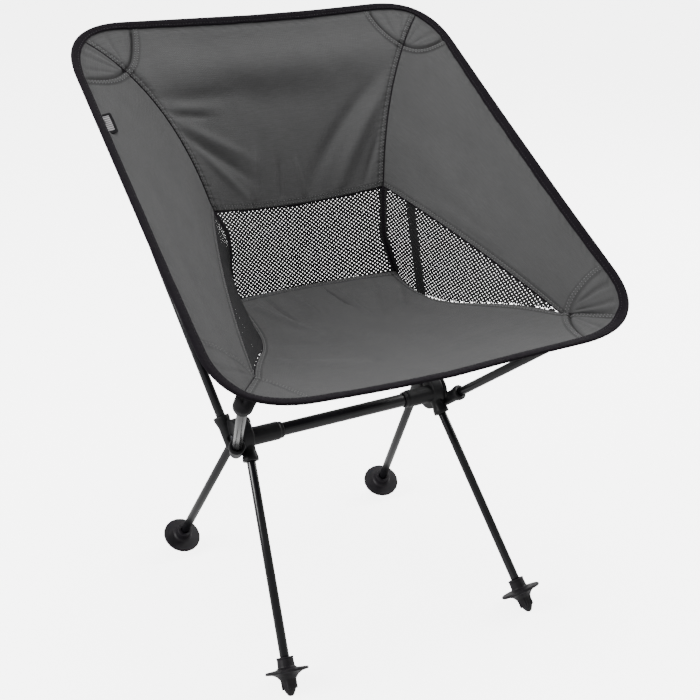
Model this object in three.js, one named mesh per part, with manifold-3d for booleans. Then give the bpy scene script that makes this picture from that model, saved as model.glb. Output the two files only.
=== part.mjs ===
// Ultralight backpacking chair: plug-together aluminium frame with a stretched fabric sling.
// Millimetres, +Z up, the sitter faces -Y, and the floor is z = 0.
import * as THREE from 'three';
import { mergeVertices } from 'three/addons/utils/BufferGeometryUtils.js';
import Module from 'manifold-3d';

const wasm = await Module();
wasm.setup();

const v3 = (x, y, z) => new THREE.Vector3(x, y, z);

// ---------------------------------------------------------------- driving dimensions
const TUBE = { outer: 11, inner: 9 };             // legs and seat poles, 11 x 1 aluminium
const CROSSBAR = { outer: 16.5, inner: 14.1, height: 240, halfLength: 119 };
const FIT = 0.3;                                  // radial gap of every plugged joint
const CORD_DIAMETER = 2.6;
const CORD_FACETS = 10;
const ROUND = 18;                                 // facets of a full turn
const TUBE_ROUND = 24;

// Centre lines of the right half, the left one is its mirror image
const FRONT_LEG = { apex: v3(128.8, 15.6, 260.7), foot: v3(168.3, -178.7, 0) };
const REAR_LEG = { apex: v3(123.8, 15.6, 260.7), foot: v3(161.3, 186.6, 0) };
const POLE_APEX = v3(143, 10.4, 216.4);           // both seat poles point at this spot
const FRONT_TIP = v3(223, -199.5, 387.5);
const BACK_BEND = v3(182.5, 144.9, 450);
const BACK_TIP = v3(218, 223, 672);

// Hub
const SOCKET = { radius: 8, rim: 10, rimLength: 4.5, flare: 13, floor: 12, back: 5, edge: 0.8 };
const LEG_MOUTH = 55;                             // from the leg apex to the mouth of its socket
const POLE_MOUTH = 49;                            // from the pole apex to the mouth of its socket
const COLLAR = { radius: 11.3, lip: 10.3, lipLength: 4.5, edge: 0.5, mouth: 86 };
const PLATE = { radius: 23, edge: 1.2, centre: v3(0, 10.5, 238), back: 127, inner: 134, split: 142, outer: 147.2 };
const SCREW = { radius: 2, head: 5, headHeight: 2.6, crown: 1.4, depth: 18, recess: 1.2 };

// Foot, measured up the leg from the ground
const FOOT = { bore: 15, top: 43.5, disc: 25.4, discHeight: 27.8, discEdge: 3.4, tip: 5, tipHeight: 4.3 };
const LUGS = { count: 6, reach: 9.7, width: 2.6, from: 7.5, to: 19 };

// Sling
const PANEL_THICKNESS = 1.6;
const BINDING = { width: 11, thickness: 4.6, gap: 1.4 };
const SEAM_GAP = 1.7;
const TOP_CORNER = v3(254, 238, 699);             // where straight edges would meet
const FRONT_CORNER = v3(263, -239, 392);
const TOP_MIDDLE = v3(0, 240, 696);
const FRONT_MIDDLE = v3(0, -238.5, 384);
const TOP_CUT = 84;                               // length of edge that a rounded corner takes
const FRONT_CUT = { side: 85, front: 100 };
const MESH_TOP = v3(118, 107, 490.6);             // upper and lower corner of the mesh window
const MESH_BOTTOM = v3(109.7, 75.5, 385);
const MESH_POINT = v3(195, -160, 391);            // front point of the side window
const MESH_TOP_MIDDLE = v3(0, 121, 479.5);
const MESH_BOTTOM_MIDDLE = v3(0, 97, 380);
const SEAT_MIDDLE_HEIGHT = 361;

// ---------------------------------------------------------------- materials
const material = (color, roughness, metalness = 0) =>
  new THREE.MeshStandardMaterial({ color, roughness, metalness });
const ANODISED = material(0x17171a, 0.28, 0.9);
const PLASTIC = material(0x141414, 0.45);
const SCREW_STEEL = material(0x3c3c40, 0.35, 1);
const FABRIC = material(0x60605e, 0.9);
const MESH_FABRIC = material(0x1a1a1a, 0.9);
const WEBBING = material(0x131215, 0.9);
const LABEL = material(0x1c1c1c, 0.8);
const ELASTIC = material(0x222222, 0.85);
const ALLOY = material(0xb9bcc0, 0.35, 1);

const chair = new THREE.Group();

// ---------------------------------------------------------------- solids
const add = (name, geometry, look) => {
  const mesh = new THREE.Mesh(geometry, look);
  mesh.name = name;
  chair.add(mesh);
  return mesh;
};

const bare = (geometry) => {
  const copy = geometry.index ? geometry.toNonIndexed() : geometry.clone();
  for (const name of Object.keys(copy.attributes)) {
    if (name !== 'position') copy.deleteAttribute(name);
  }
  return mergeVertices(copy, 1e-4);
};

const signedVolume = (geometry) => {
  const p = geometry.attributes.position;
  const index = geometry.index.array;
  const [a, b, c] = [v3(), v3(), v3()];
  let volume = 0;
  for (let i = 0; i < index.length; i += 3) {
    a.fromBufferAttribute(p, index[i]);
    b.fromBufferAttribute(p, index[i + 1]);
    c.fromBufferAttribute(p, index[i + 2]);
    volume += a.dot(b.cross(c)) / 6;
  }
  return volume;
};

// A welded copy with its faces turned outward
const solid = (geometry) => {
  const welded = bare(geometry);
  if (signedVolume(welded) < 0) {
    const index = welded.index.array;
    for (let i = 0; i < index.length; i += 3) {
      [index[i], index[i + 1]] = [index[i + 1], index[i]];
    }
  }
  welded.computeVertexNormals();
  return welded;
};

const mirrored = (geometry) => solid(geometry.clone().scale(-1, 1, 1));

const toManifold = (geometry) => {
  const welded = solid(geometry);
  return new wasm.Manifold(new wasm.Mesh({
    numProp: 3,
    vertProperties: new Float32Array(welded.attributes.position.array),
    triVerts: new Uint32Array(welded.index.array),
  }));
};

const fromManifold = (shape) => {
  const mesh = shape.getMesh();
  const geometry = new THREE.BufferGeometry();
  geometry.setAttribute('position', new THREE.BufferAttribute(new Float32Array(mesh.vertProperties), 3));
  geometry.setIndex(new THREE.BufferAttribute(new Uint32Array(mesh.triVerts), 1));
  return solid(geometry);
};

const union = (shapes) => shapes.reduce((whole, shape) => whole.add(shape));
const cut = (whole, tools) => tools.reduce((rest, tool) => rest.subtract(tool), whole);

// Turned shape standing on +Z, from [radius, height] pairs
const turned = (profile, facets = ROUND) =>
  new THREE.LatheGeometry(profile.map(([r, h]) => new THREE.Vector2(r, h)), facets).rotateX(Math.PI / 2);

const rod = (radius, length, facets = ROUND) =>
  turned([[0, 0], [radius, 0], [radius, length], [0, length]], facets);
const cordRod = (length) => rod(CORD_DIAMETER / 2, length, CORD_FACETS);

const pipe = (outer, inner, length) =>
  turned([[inner, 0], [outer, 0], [outer, length], [inner, length], [inner, 0]], TUBE_ROUND);

// Moves a shape that stands on +Z so that it stands at a point and grows along a direction
const aimed = (geometry, point, direction) => {
  const turn = new THREE.Quaternion().setFromUnitVectors(v3(0, 0, 1), direction.clone().normalize());
  return geometry.applyQuaternion(turn).translate(point.x, point.y, point.z);
};

const between = (from, to) => to.clone().sub(from).normalize();
const along = (point, direction, distance) => point.clone().addScaledVector(direction, distance);

// A section swept along a curve
const swept = (section, path, steps) =>
  new THREE.ExtrudeGeometry(section, { steps, extrudePath: path, curveSegments: ROUND / 2 - 1 });

const ringSection = (outer, inner) => {
  const ring = new THREE.Shape().absarc(0, 0, outer, 0, 2 * Math.PI);
  ring.holes.push(new THREE.Path().absarc(0, 0, inner, 0, 2 * Math.PI, true));
  return ring;
};

const cordSection = () => {
  const points = Array.from({ length: CORD_FACETS }, (_, i) => {
    const angle = (2 * Math.PI * i) / CORD_FACETS;
    return new THREE.Vector2(Math.cos(angle), Math.sin(angle)).multiplyScalar(CORD_DIAMETER / 2);
  });
  return new THREE.Shape(points);
};

// The right piece as drawn and the left one as its mirror image
const pair = (name, geometry, look) => {
  const right = solid(geometry);
  add(`${name}_right`, right, look);
  add(`${name}_left`, mirrored(right), look);
};

// ---------------------------------------------------------------- crossbar
const crossbar = pipe(CROSSBAR.outer / 2, CROSSBAR.inner / 2, 2 * CROSSBAR.halfLength);
add('crossbar', solid(aimed(crossbar, v3(-CROSSBAR.halfLength, 0, CROSSBAR.height), v3(1, 0, 0))), ANODISED);
const crossbarCord = cordRod(2 * CROSSBAR.halfLength - 4);
add('crossbar_cord',
  solid(aimed(crossbarCord, v3(2 - CROSSBAR.halfLength, 0, CROSSBAR.height), v3(1, 0, 0))), ELASTIC);

// ---------------------------------------------------------------- hubs
// A rounded blind sleeve that flares to a rim round its mouth, grown on every side by `grow`
const sleeve = (length, grow = 0) => {
  const r = SOCKET.radius + grow;
  const rim = SOCKET.rim + grow;
  const start = SOCKET.floor - SOCKET.back - grow;
  return turned([[0, start], [r * 0.62, start], [r, start + 3.5], [r, length - SOCKET.flare],
    [rim, length - SOCKET.rimLength], [rim, length - SOCKET.edge + grow], [rim - SOCKET.edge, length + grow],
    [0, length + grow]]);
};

const bore = (length) => {
  const past = 5;                                 // runs this far out of the mouth
  return rod(TUBE.outer / 2 + FIT, length - SOCKET.floor + past, TUBE_ROUND).translate(0, 0, SOCKET.floor);
};

const plate = (from, to, grow = 0) => {
  const { edge } = PLATE;
  const r = PLATE.radius + grow;
  const disc = turned([[0, from - grow], [r - edge, from - grow], [r, from - grow + edge],
    [r, to + grow - edge], [r - edge, to + grow], [0, to + grow]], 2 * ROUND);
  return aimed(disc, v3(0, PLATE.centre.y, PLATE.centre.z), v3(1, 0, 0));
};

const frontLegWay = between(FRONT_LEG.apex, FRONT_LEG.foot);
const rearLegWay = between(REAR_LEG.apex, REAR_LEG.foot);
const frontPoleWay = between(POLE_APEX, FRONT_TIP);
const backPoleWay = between(POLE_APEX, BACK_BEND);

const poleSide = (grow = 0) => union([
  toManifold(plate(PLATE.split, PLATE.outer, grow)),
  toManifold(aimed(sleeve(POLE_MOUTH, grow), POLE_APEX, frontPoleWay)),
  toManifold(aimed(sleeve(POLE_MOUTH, grow), POLE_APEX, backPoleWay)),
]);

const collarLength = PLATE.inner - COLLAR.mouth;
const collar = turned([[0, 0], [COLLAR.lip - COLLAR.edge, 0], [COLLAR.lip, COLLAR.edge],
  [COLLAR.lip, COLLAR.lipLength], [COLLAR.radius, COLLAR.lipLength + 1], [COLLAR.radius, collarLength],
  [0, collarLength]]);
const collarBoreStart = COLLAR.mouth - 5;
const collarBore = rod(CROSSBAR.outer / 2 + FIT, CROSSBAR.halfLength + FIT - collarBoreStart, TUBE_ROUND);

const screwAxis = (x) => v3(x, PLATE.centre.y, PLATE.centre.z);
const screwHole = aimed(rod(SCREW.radius + FIT, 30), screwAxis(PLATE.outer - SCREW.depth - FIT), v3(1, 0, 0));
const headRecess = aimed(rod(SCREW.head + FIT, 10), screwAxis(PLATE.outer - SCREW.recess), v3(1, 0, 0));

const legSide = cut(
  union([
    toManifold(plate(PLATE.back, PLATE.split - FIT)),
    toManifold(aimed(collar, v3(COLLAR.mouth, 0, CROSSBAR.height), v3(1, 0, 0))),
    toManifold(aimed(sleeve(LEG_MOUTH), FRONT_LEG.apex, frontLegWay)),
    toManifold(aimed(sleeve(LEG_MOUTH), REAR_LEG.apex, rearLegWay)),
  ]),
  [
    poleSide(FIT),
    toManifold(aimed(bore(LEG_MOUTH), FRONT_LEG.apex, frontLegWay)),
    toManifold(aimed(bore(LEG_MOUTH), REAR_LEG.apex, rearLegWay)),
    toManifold(aimed(collarBore, v3(collarBoreStart, 0, CROSSBAR.height), v3(1, 0, 0))),
    toManifold(screwHole),
  ],
);
pair('leg_hub', fromManifold(legSide), PLASTIC);

const poleHub = cut(poleSide(), [
  toManifold(aimed(bore(POLE_MOUTH), POLE_APEX, frontPoleWay)),
  toManifold(aimed(bore(POLE_MOUTH), POLE_APEX, backPoleWay)),
  toManifold(screwHole),
  toManifold(headRecess),
]);
pair('pole_hub', fromManifold(poleHub), PLASTIC);

const seatOfHead = SCREW.depth - SCREW.recess + FIT;
const topOfHead = seatOfHead + SCREW.headHeight;
const screw = turned([[0, 0], [SCREW.radius, 0], [SCREW.radius, seatOfHead], [SCREW.head, seatOfHead],
  [SCREW.head, topOfHead - 1], [SCREW.head - SCREW.crown, topOfHead], [0, topOfHead]]);
pair('hub_screw', aimed(screw, screwAxis(PLATE.outer - SCREW.depth), v3(1, 0, 0)), SCREW_STEEL);

// ---------------------------------------------------------------- legs and feet
const ground = new THREE.BoxGeometry(120, 120, 40).translate(0, 0, -20);

const footProfile = () => {
  const { disc, discHeight, discEdge, top, tip, tipHeight } = FOOT;
  const under = discHeight - discEdge / 2;
  const over = discHeight + discEdge / 2;
  const rounded = 75 * THREE.MathUtils.DEG2RAD;
  const bullet = Array.from({ length: 4 }, (_, i) => {
    const angle = (rounded * i) / 3;
    return [tip * Math.sin(angle), tipHeight - tip * Math.cos(angle)];
  });
  const waist = 8.6;
  const flat = disc - 2;                          // radius where the concave underside meets the disc
  const trumpet = Array.from({ length: 5 }, (_, i) => {
    const turn = (Math.PI / 2) * (i / 4);
    return [flat - (flat - waist) * Math.cos(turn), under - 12 * (1 - Math.sin(turn))];
  });
  return [...bullet, [6.3, 5.2], [7.8, 10.2], ...trumpet, [disc - 0.6, under], [disc, under + 0.8],
    [disc, over - 0.8], [disc - 0.8, over], [12.6, over + 0.9], [10.2, over + 2.9], [9.7, top - 2.2],
    [10.2, top - 1.5], [10.2, top - 0.4], [9.8, top], [0, top]];
};

const foot = (line) => {
  const way = between(line.foot, line.apex);
  const lugs = Array.from({ length: LUGS.count }, (_, i) => {
    const { reach, width, from, to } = LUGS;
    const lug = new THREE.BoxGeometry(reach, width, to - from).translate(reach / 2, 0, (from + to) / 2);
    return toManifold(aimed(lug.rotateZ((2 * Math.PI * i) / LUGS.count), line.foot, way));
  });
  return fromManifold(cut(
    union([toManifold(aimed(turned(footProfile()), line.foot, way)), ...lugs]),
    [
      toManifold(aimed(rod(TUBE.outer / 2 + FIT, 60, TUBE_ROUND), along(line.foot, way, FOOT.bore), way)),
      toManifold(ground.clone().translate(line.foot.x, line.foot.y, 0)),
    ],
  ));
};

const leg = (name, line) => {
  const way = between(line.apex, line.foot);
  const top = along(line.apex, way, SOCKET.floor + FIT);
  const bottom = along(line.foot, way, -(FOOT.bore + FIT));
  const length = top.distanceTo(bottom);
  pair(`${name}_tube`, aimed(pipe(TUBE.outer / 2, TUBE.inner / 2, length), top, way), ANODISED);
  pair(`${name}_cord`, aimed(cordRod(length - 1), along(top, way, 0.5), way), ELASTIC);
  pair(`${name}_foot`, foot(line), PLASTIC);
};
leg('front_leg', FRONT_LEG);
leg('rear_leg', REAR_LEG);

// ---------------------------------------------------------------- seat poles
const TIP_CAP = { radius: 6.7, length: 20, end: 4 };
const tipCap = () => {
  const { radius, length, end } = TIP_CAP;
  const dome = Array.from({ length: 5 }, (_, i) => {
    const angle = (Math.PI / 2) * (i / 4);
    return [radius * Math.cos(angle), end * Math.sin(angle)];
  });
  const inside = TUBE.outer / 2 + FIT;
  return turned([[0, 0], [inside, 0], [inside, end - length], [radius, end - length], ...dome])
    .translate(0, 0, -end);
};
const capped = (tip, way) => aimed(tipCap(), tip, way);
const tubeEnd = TIP_CAP.end + FIT;

// Front pole, one straight tube
const frontStart = along(POLE_APEX, frontPoleWay, SOCKET.floor + FIT);
const frontLength = frontStart.distanceTo(FRONT_TIP) - tubeEnd;
pair('front_pole', aimed(pipe(TUBE.outer / 2, TUBE.inner / 2, frontLength), frontStart, frontPoleWay), ANODISED);
pair('front_pole_cord',
  aimed(cordRod(frontLength - 1), along(frontStart, frontPoleWay, 0.5), frontPoleWay), ELASTIC);
pair('front_pole_cap', capped(FRONT_TIP, frontPoleWay), PLASTIC);

// Back pole, a straight lower tube and a bent upper tube on a ferrule
const JOINT_BEFORE_BEND = 62;
const BEND_REACH = 26;
const FERRULE = { radius: TUBE.inner / 2 - FIT, inner: 3, length: 56 };
const upperWay = between(BACK_BEND, BACK_TIP);
const backStart = along(POLE_APEX, backPoleWay, SOCKET.floor + FIT);
const joint = along(BACK_BEND, backPoleWay, -JOINT_BEFORE_BEND);
const lowerLength = backStart.distanceTo(joint);
pair('back_pole_lower', aimed(pipe(TUBE.outer / 2, TUBE.inner / 2, lowerLength), backStart, backPoleWay), ANODISED);
pair('back_pole_ferrule', aimed(pipe(FERRULE.radius, FERRULE.inner, FERRULE.length),
  along(joint, backPoleWay, -FERRULE.length / 2), backPoleWay), ALLOY);

const bentPath = (from, to) => {
  const path = new THREE.CurvePath();
  const bendStart = along(BACK_BEND, backPoleWay, -BEND_REACH);
  const bendEnd = along(BACK_BEND, upperWay, BEND_REACH);
  path.add(new THREE.LineCurve3(from, bendStart));
  path.add(new THREE.QuadraticBezierCurve3(bendStart, BACK_BEND.clone(), bendEnd));
  path.add(new THREE.LineCurve3(bendEnd, to));
  return path;
};
pair('back_pole_upper', swept(ringSection(TUBE.outer / 2, TUBE.inner / 2),
  bentPath(along(joint, backPoleWay, FIT), along(BACK_TIP, upperWay, -tubeEnd)), 12), ANODISED);
pair('back_pole_cord', swept(cordSection(),
  bentPath(along(backStart, backPoleWay, 0.5), along(BACK_TIP, upperWay, -tubeEnd - 0.5)), 14), ELASTIC);
pair('back_pole_cap', capped(BACK_TIP, upperWay), PLASTIC);

// ---------------------------------------------------------------- sling outline and seams
const edgePoint = (corner, other, distance) => along(corner, between(corner, other), distance);

// Right half of the outline, top middle to front middle, as curves that join end to end
const topCut = { a: edgePoint(TOP_CORNER, TOP_MIDDLE, TOP_CUT), b: edgePoint(TOP_CORNER, FRONT_CORNER, TOP_CUT) };
const frontCut = {
  a: edgePoint(FRONT_CORNER, TOP_CORNER, FRONT_CUT.side),
  b: edgePoint(FRONT_CORNER, FRONT_MIDDLE, FRONT_CUT.front),
};
const topRound = new THREE.QuadraticBezierCurve3(topCut.a, TOP_CORNER, topCut.b);
const frontRound = new THREE.QuadraticBezierCurve3(frontCut.a, FRONT_CORNER, frontCut.b);

// The three stretches of the outline that edge the back, a side and the seat
const backEdge = (t) => {
  const side = t < 0.5 ? -1 : 1;
  const s = Math.abs(2 * t - 1);
  const split = 0.72;
  const p = s < split
    ? TOP_MIDDLE.clone().lerp(topCut.a, s / split)
    : topRound.getPoint((0.5 * (s - split)) / (1 - split));
  p.x *= side;
  return p;
};
const sideEdge = (t) => {
  const early = 0.12;
  const late = 0.85;
  if (t < early) return topRound.getPoint(0.5 + (0.5 * t) / early);
  if (t > late) return frontRound.getPoint((0.5 * (t - late)) / (1 - late));
  return topCut.b.clone().lerp(frontCut.a, (t - early) / (late - early));
};
const seatEdge = (t) => {
  const side = t < 0.5 ? -1 : 1;
  const s = Math.abs(2 * t - 1);
  const split = 0.64;
  const p = s < split
    ? FRONT_MIDDLE.clone().lerp(frontCut.b, s / split)
    : frontRound.getPoint(1 - (0.5 * (s - split)) / (1 - split));
  p.x *= side;
  return p;
};

// The direction into the sling, square to its edge, at a spot on the outline
const inward = (curve, t, target) => {
  const step = 1e-3;
  const way = curve(Math.min(t + step, 1)).sub(curve(Math.max(t - step, 0))).normalize();
  const into = target.clone().sub(curve(t));
  return into.addScaledVector(way, -into.dot(way)).normalize();
};
const backTarget = (t) => v3(MESH_TOP.x * (2 * t - 1), MESH_TOP.y, MESH_TOP.z);
const sideTarget = (t) => MESH_TOP.clone().lerp(MESH_POINT, t);
const seatTarget = (t) => {
  const across = 2 * t - 1;
  return v3(MESH_POINT.x * across, MESH_POINT.y * across ** 2, MESH_POINT.z - 25 * (1 - across ** 2));
};
const inset = (curve, target) => (t) =>
  along(curve(t), inward(curve, t, target(t)), BINDING.width + BINDING.gap);

const backInner = inset(backEdge, backTarget);
const sideInner = inset(sideEdge, sideTarget);
const seatInner = inset(seatEdge, seatTarget);

const bezier = (...points) => {
  const curve = points.length === 3
    ? new THREE.QuadraticBezierCurve3(...points)
    : new THREE.CubicBezierCurve3(...points);
  return (t) => curve.getPoint(t);
};
const flip = (curve) => (t) => {
  const p = curve(t);
  p.x *= -1;
  return p;
};
// A level seam through its two corners and its sagging middle
const across = (corner, middle) => (t) => {
  const s = 2 * t - 1;
  return v3(corner.x * s, middle.y + (corner.y - middle.y) * s * s, middle.z + (corner.z - middle.z) * s * s);
};

const topSeam = bezier(MESH_TOP, v3(144, 150, 626), sideInner(0));
const windowTop = bezier(MESH_TOP, v3(160, -24, 450), MESH_POINT);
const windowBottom = bezier(MESH_BOTTOM, v3(140, 0, 352), v3(170, -105, 360), MESH_POINT);
const windowBack = (t) => MESH_BOTTOM.clone().lerp(MESH_TOP, t);
const cornerSeam = (t) => MESH_POINT.clone().lerp(sideInner(1), t);
const seatSide = (t) => (t < 0.72 ? windowBottom(t / 0.72) : cornerSeam((t - 0.72) / 0.28));
const backMeshTop = across(MESH_TOP, MESH_TOP_MIDDLE);
const backMeshBottom = across(MESH_BOTTOM, MESH_BOTTOM_MIDDLE);

// ---------------------------------------------------------------- sling panels
// Surface stretched between four edges, with a sag along its own normal in the middle
const stretched = (bottom, top, left, right, sag = v3(0, 0, 0)) => (u, v) => {
  const a = bottom(u).multiplyScalar(1 - v).addScaledVector(top(u), v);
  const b = left(v).multiplyScalar(1 - u).addScaledVector(right(v), u);
  const c = bottom(0).multiplyScalar((1 - u) * (1 - v)).addScaledVector(bottom(1), u * (1 - v))
    .addScaledVector(top(0), (1 - u) * v).addScaledVector(top(1), u * v);
  return a.add(b).sub(c).addScaledVector(sag, 16 * u * (1 - u) * v * (1 - v));
};

const surfaceNormal = (surface, u, v) => {
  const step = 1e-3;
  const du = surface(Math.min(u + step, 1), v).sub(surface(Math.max(u - step, 0), v));
  const dv = surface(u, Math.min(v + step, 1)).sub(surface(u, Math.max(v - step, 0)));
  return du.cross(dv).normalize();
};

// Closed shell of even thickness on a surface, cut back from its seams
const panel = (surface, nu, nv, thickness, range) => {
  const [u0, u1, v0, v1] = range;
  const positions = [];
  for (const side of [0.5, -0.5]) {
    for (let j = 0; j <= nv; j += 1) {
      for (let i = 0; i <= nu; i += 1) {
        const u = u0 + ((u1 - u0) * i) / nu;
        const v = v0 + ((v1 - v0) * j) / nv;
        positions.push(...along(surface(u, v), surfaceNormal(surface, u, v), side * thickness));
      }
    }
  }
  const at = (side, i, j) => side * (nu + 1) * (nv + 1) + j * (nu + 1) + i;
  const index = [];
  const quad = (a, b, c, d) => index.push(a, b, c, a, c, d);
  for (let j = 0; j < nv; j += 1) {
    for (let i = 0; i < nu; i += 1) {
      quad(at(0, i, j), at(0, i + 1, j), at(0, i + 1, j + 1), at(0, i, j + 1));
      quad(at(1, i, j), at(1, i, j + 1), at(1, i + 1, j + 1), at(1, i + 1, j));
    }
  }
  for (let i = 0; i < nu; i += 1) {
    quad(at(1, i, 0), at(1, i + 1, 0), at(0, i + 1, 0), at(0, i, 0));
    quad(at(0, i, nv), at(0, i + 1, nv), at(1, i + 1, nv), at(1, i, nv));
  }
  for (let j = 0; j < nv; j += 1) {
    quad(at(0, 0, j), at(0, 0, j + 1), at(1, 0, j + 1), at(1, 0, j));
    quad(at(1, nu, j), at(1, nu, j + 1), at(0, nu, j + 1), at(0, nu, j));
  }
  const geometry = new THREE.BufferGeometry();
  geometry.setAttribute('position', new THREE.Float32BufferAttribute(positions, 3));
  geometry.setIndex(index);
  return solid(geometry);
};

const seam = (length) => SEAM_GAP / length;

const backSurface = stretched(backMeshTop, backInner, flip(topSeam), topSeam, v3(0, 8, -3));
add('back_panel', panel(backSurface, 20, 8, PANEL_THICKNESS,
  [seam(236), 1 - seam(236), seam(215), 1]), FABRIC);

const backMeshSurface = stretched(backMeshBottom, backMeshTop, flip(windowBack), windowBack);
add('back_mesh', panel(backMeshSurface, 16, 3, PANEL_THICKNESS,
  [seam(225), 1 - seam(225), seam(105), 1 - seam(105)]), MESH_FABRIC);

const seatDepth = (SEAT_MIDDLE_HEIGHT - (MESH_BOTTOM_MIDDLE.z + FRONT_MIDDLE.z) / 2);
const seatSurface = stretched(seatInner, backMeshBottom,
  (t) => flip(seatSide)(1 - t), (t) => seatSide(1 - t), v3(0, 0, seatDepth + 14));
add('seat_panel', panel(seatSurface, 18, 14, PANEL_THICKNESS,
  [seam(260), 1 - seam(260), 0, 1 - seam(300)]), FABRIC);

const sideSurface = stretched(windowTop, sideInner, topSeam, cornerSeam);
pair('side_panel', panel(sideSurface, 24, 8, PANEL_THICKNESS,
  [seam(250), 1 - seam(300), seam(70), 1]), FABRIC);

const windowSurface = (u, v) => windowBottom(u).lerp(windowTop(u), v);
pair('side_mesh', panel(windowSurface, 18, 3, PANEL_THICKNESS,
  [seam(280), 0.95, seam(90), 1 - seam(90)]), MESH_FABRIC);

// ---------------------------------------------------------------- sling trim
// Edge binding, one closed band round the whole outline
const bandPoint = (t) => {
  const turn = 4 * t;
  if (turn < 1) return [backEdge, turn, backTarget, 1];
  if (turn < 2) return [sideEdge, turn - 1, sideTarget, 1];
  if (turn < 3) return [seatEdge, 3 - turn, seatTarget, 1];
  return [sideEdge, 4 - turn, sideTarget, -1];
};

const binding = () => {
  const count = 96;
  const half = BINDING.thickness / 2;
  const section = [[0, -half], [0, half], [BINDING.width, half], [BINDING.width, -half]];
  const positions = [];
  for (let i = 0; i < count; i += 1) {
    const [curve, t, target, side] = bandPoint(i / count);
    const outer = curve(t);
    const into = inward(curve, t, target(t));
    const ahead = curve(Math.min(t + 1e-3, 1)).sub(curve(Math.max(t - 1e-3, 0)));
    const normal = ahead.cross(into).normalize();
    const flipped = curve === seatEdge ? -1 : 1;
    for (const [depth, height] of section) {
      const p = along(along(outer, into, depth), normal, flipped * height);
      positions.push(side * p.x, p.y, p.z);
    }
  }
  const index = [];
  for (let i = 0; i < count; i += 1) {
    for (let k = 0; k < 4; k += 1) {
      const [a, b] = [4 * i + k, 4 * i + ((k + 1) % 4)];
      const [c, d] = [4 * ((i + 1) % count) + ((k + 1) % 4), 4 * ((i + 1) % count) + k];
      index.push(a, b, c, a, c, d);
    }
  }
  const geometry = new THREE.BufferGeometry();
  geometry.setAttribute('position', new THREE.Float32BufferAttribute(positions, 3));
  geometry.setIndex(index);
  return solid(geometry);
};
add('edge_binding', binding(), WEBBING);

// Closed fabric sleeves that hold the pole caps and close in on the tube below them
const POCKET = { inner: 7.2, neck: 6.1, outer: 8.8, mouth: 7.3, length: 32, end: 2 };
const pocket = (tip, way) => {
  const { inner, neck, outer, mouth, length, end } = POCKET;
  const shape = turned([[0, FIT], [inner, FIT], [inner, -TIP_CAP.length - 2], [neck, 5 - length], [neck, -length],
    [mouth, -length], [outer, 6 - length], [outer, -3], [outer * 0.85, 0.2], [outer * 0.5, end], [0, end]]);
  return aimed(shape, tip, way);
};
pair('front_pocket', pocket(FRONT_TIP, frontPoleWay), WEBBING);
pair('back_pocket', pocket(BACK_TIP, upperWay), WEBBING);

// Tape over the upright seam where back mesh, side mesh and both panels meet
const TAPE = { width: 7, thickness: 1.6, clearance: 2.6, ends: 6 };
const tapeOut = v3(0.72, 0.69, 0).normalize();
const tapeWay = between(MESH_BOTTOM, MESH_TOP);
const tapeLength = MESH_TOP.distanceTo(MESH_BOTTOM) - 2 * TAPE.ends;
const tape = new THREE.BoxGeometry(TAPE.width, TAPE.thickness, tapeLength);
const tapeSide = tapeOut.clone().cross(tapeWay).normalize();
const tapeFrame = new THREE.Matrix4().makeBasis(tapeSide, tapeWay.clone().cross(tapeSide), tapeWay);
tape.applyMatrix4(tapeFrame);
const tapeMiddle = along(MESH_BOTTOM.clone().lerp(MESH_TOP, 0.5), tapeOut, TAPE.clearance + TAPE.thickness / 2);
pair('seam_tape', tape.translate(tapeMiddle.x, tapeMiddle.y, tapeMiddle.z), WEBBING);

// Blank label on the inside of the left edge
const LABEL_SIZE = { length: 24, height: 20, thickness: 0.9, clearance: 0.6, at: [0.22, 0.84] };
const [labelU, labelV] = LABEL_SIZE.at;
const labelNormal = surfaceNormal(sideSurface, labelU, labelV);
const labelAlong = sideSurface(labelU + 0.01, labelV).sub(sideSurface(labelU, labelV)).normalize();
const labelInto = labelNormal.clone().cross(labelAlong).normalize();
const towardSitter = labelNormal.x < 0 ? 1 : -1;
const labelFrame = new THREE.Matrix4().makeBasis(labelAlong, labelInto, labelNormal);
const labelCentre = along(sideSurface(labelU, labelV), labelNormal,
  towardSitter * (PANEL_THICKNESS / 2 + LABEL_SIZE.thickness / 2 + LABEL_SIZE.clearance));
const label = new THREE.BoxGeometry(LABEL_SIZE.length, LABEL_SIZE.height, LABEL_SIZE.thickness)
  .applyMatrix4(labelFrame).translate(labelCentre.x, labelCentre.y, labelCentre.z);
add('side_label', mirrored(solid(label)), LABEL);

// ---------------------------------------------------------------- origin under the middle of the chair
const box = new THREE.Box3().setFromObject(chair);
chair.position.y = -box.getCenter(v3()).y;

export default chair;
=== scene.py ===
"""Looks of the ultralight backpacking chair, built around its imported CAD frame.

Metres, +Z up, the sitter faces -Y. Every sling piece is worked out from the named points
below, which are given in millimetres from the middle of the crossbar, at floor level.
"""
import math

import bpy
import numpy as np
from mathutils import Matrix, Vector
from mathutils.bvhtree import BVHTree


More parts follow.
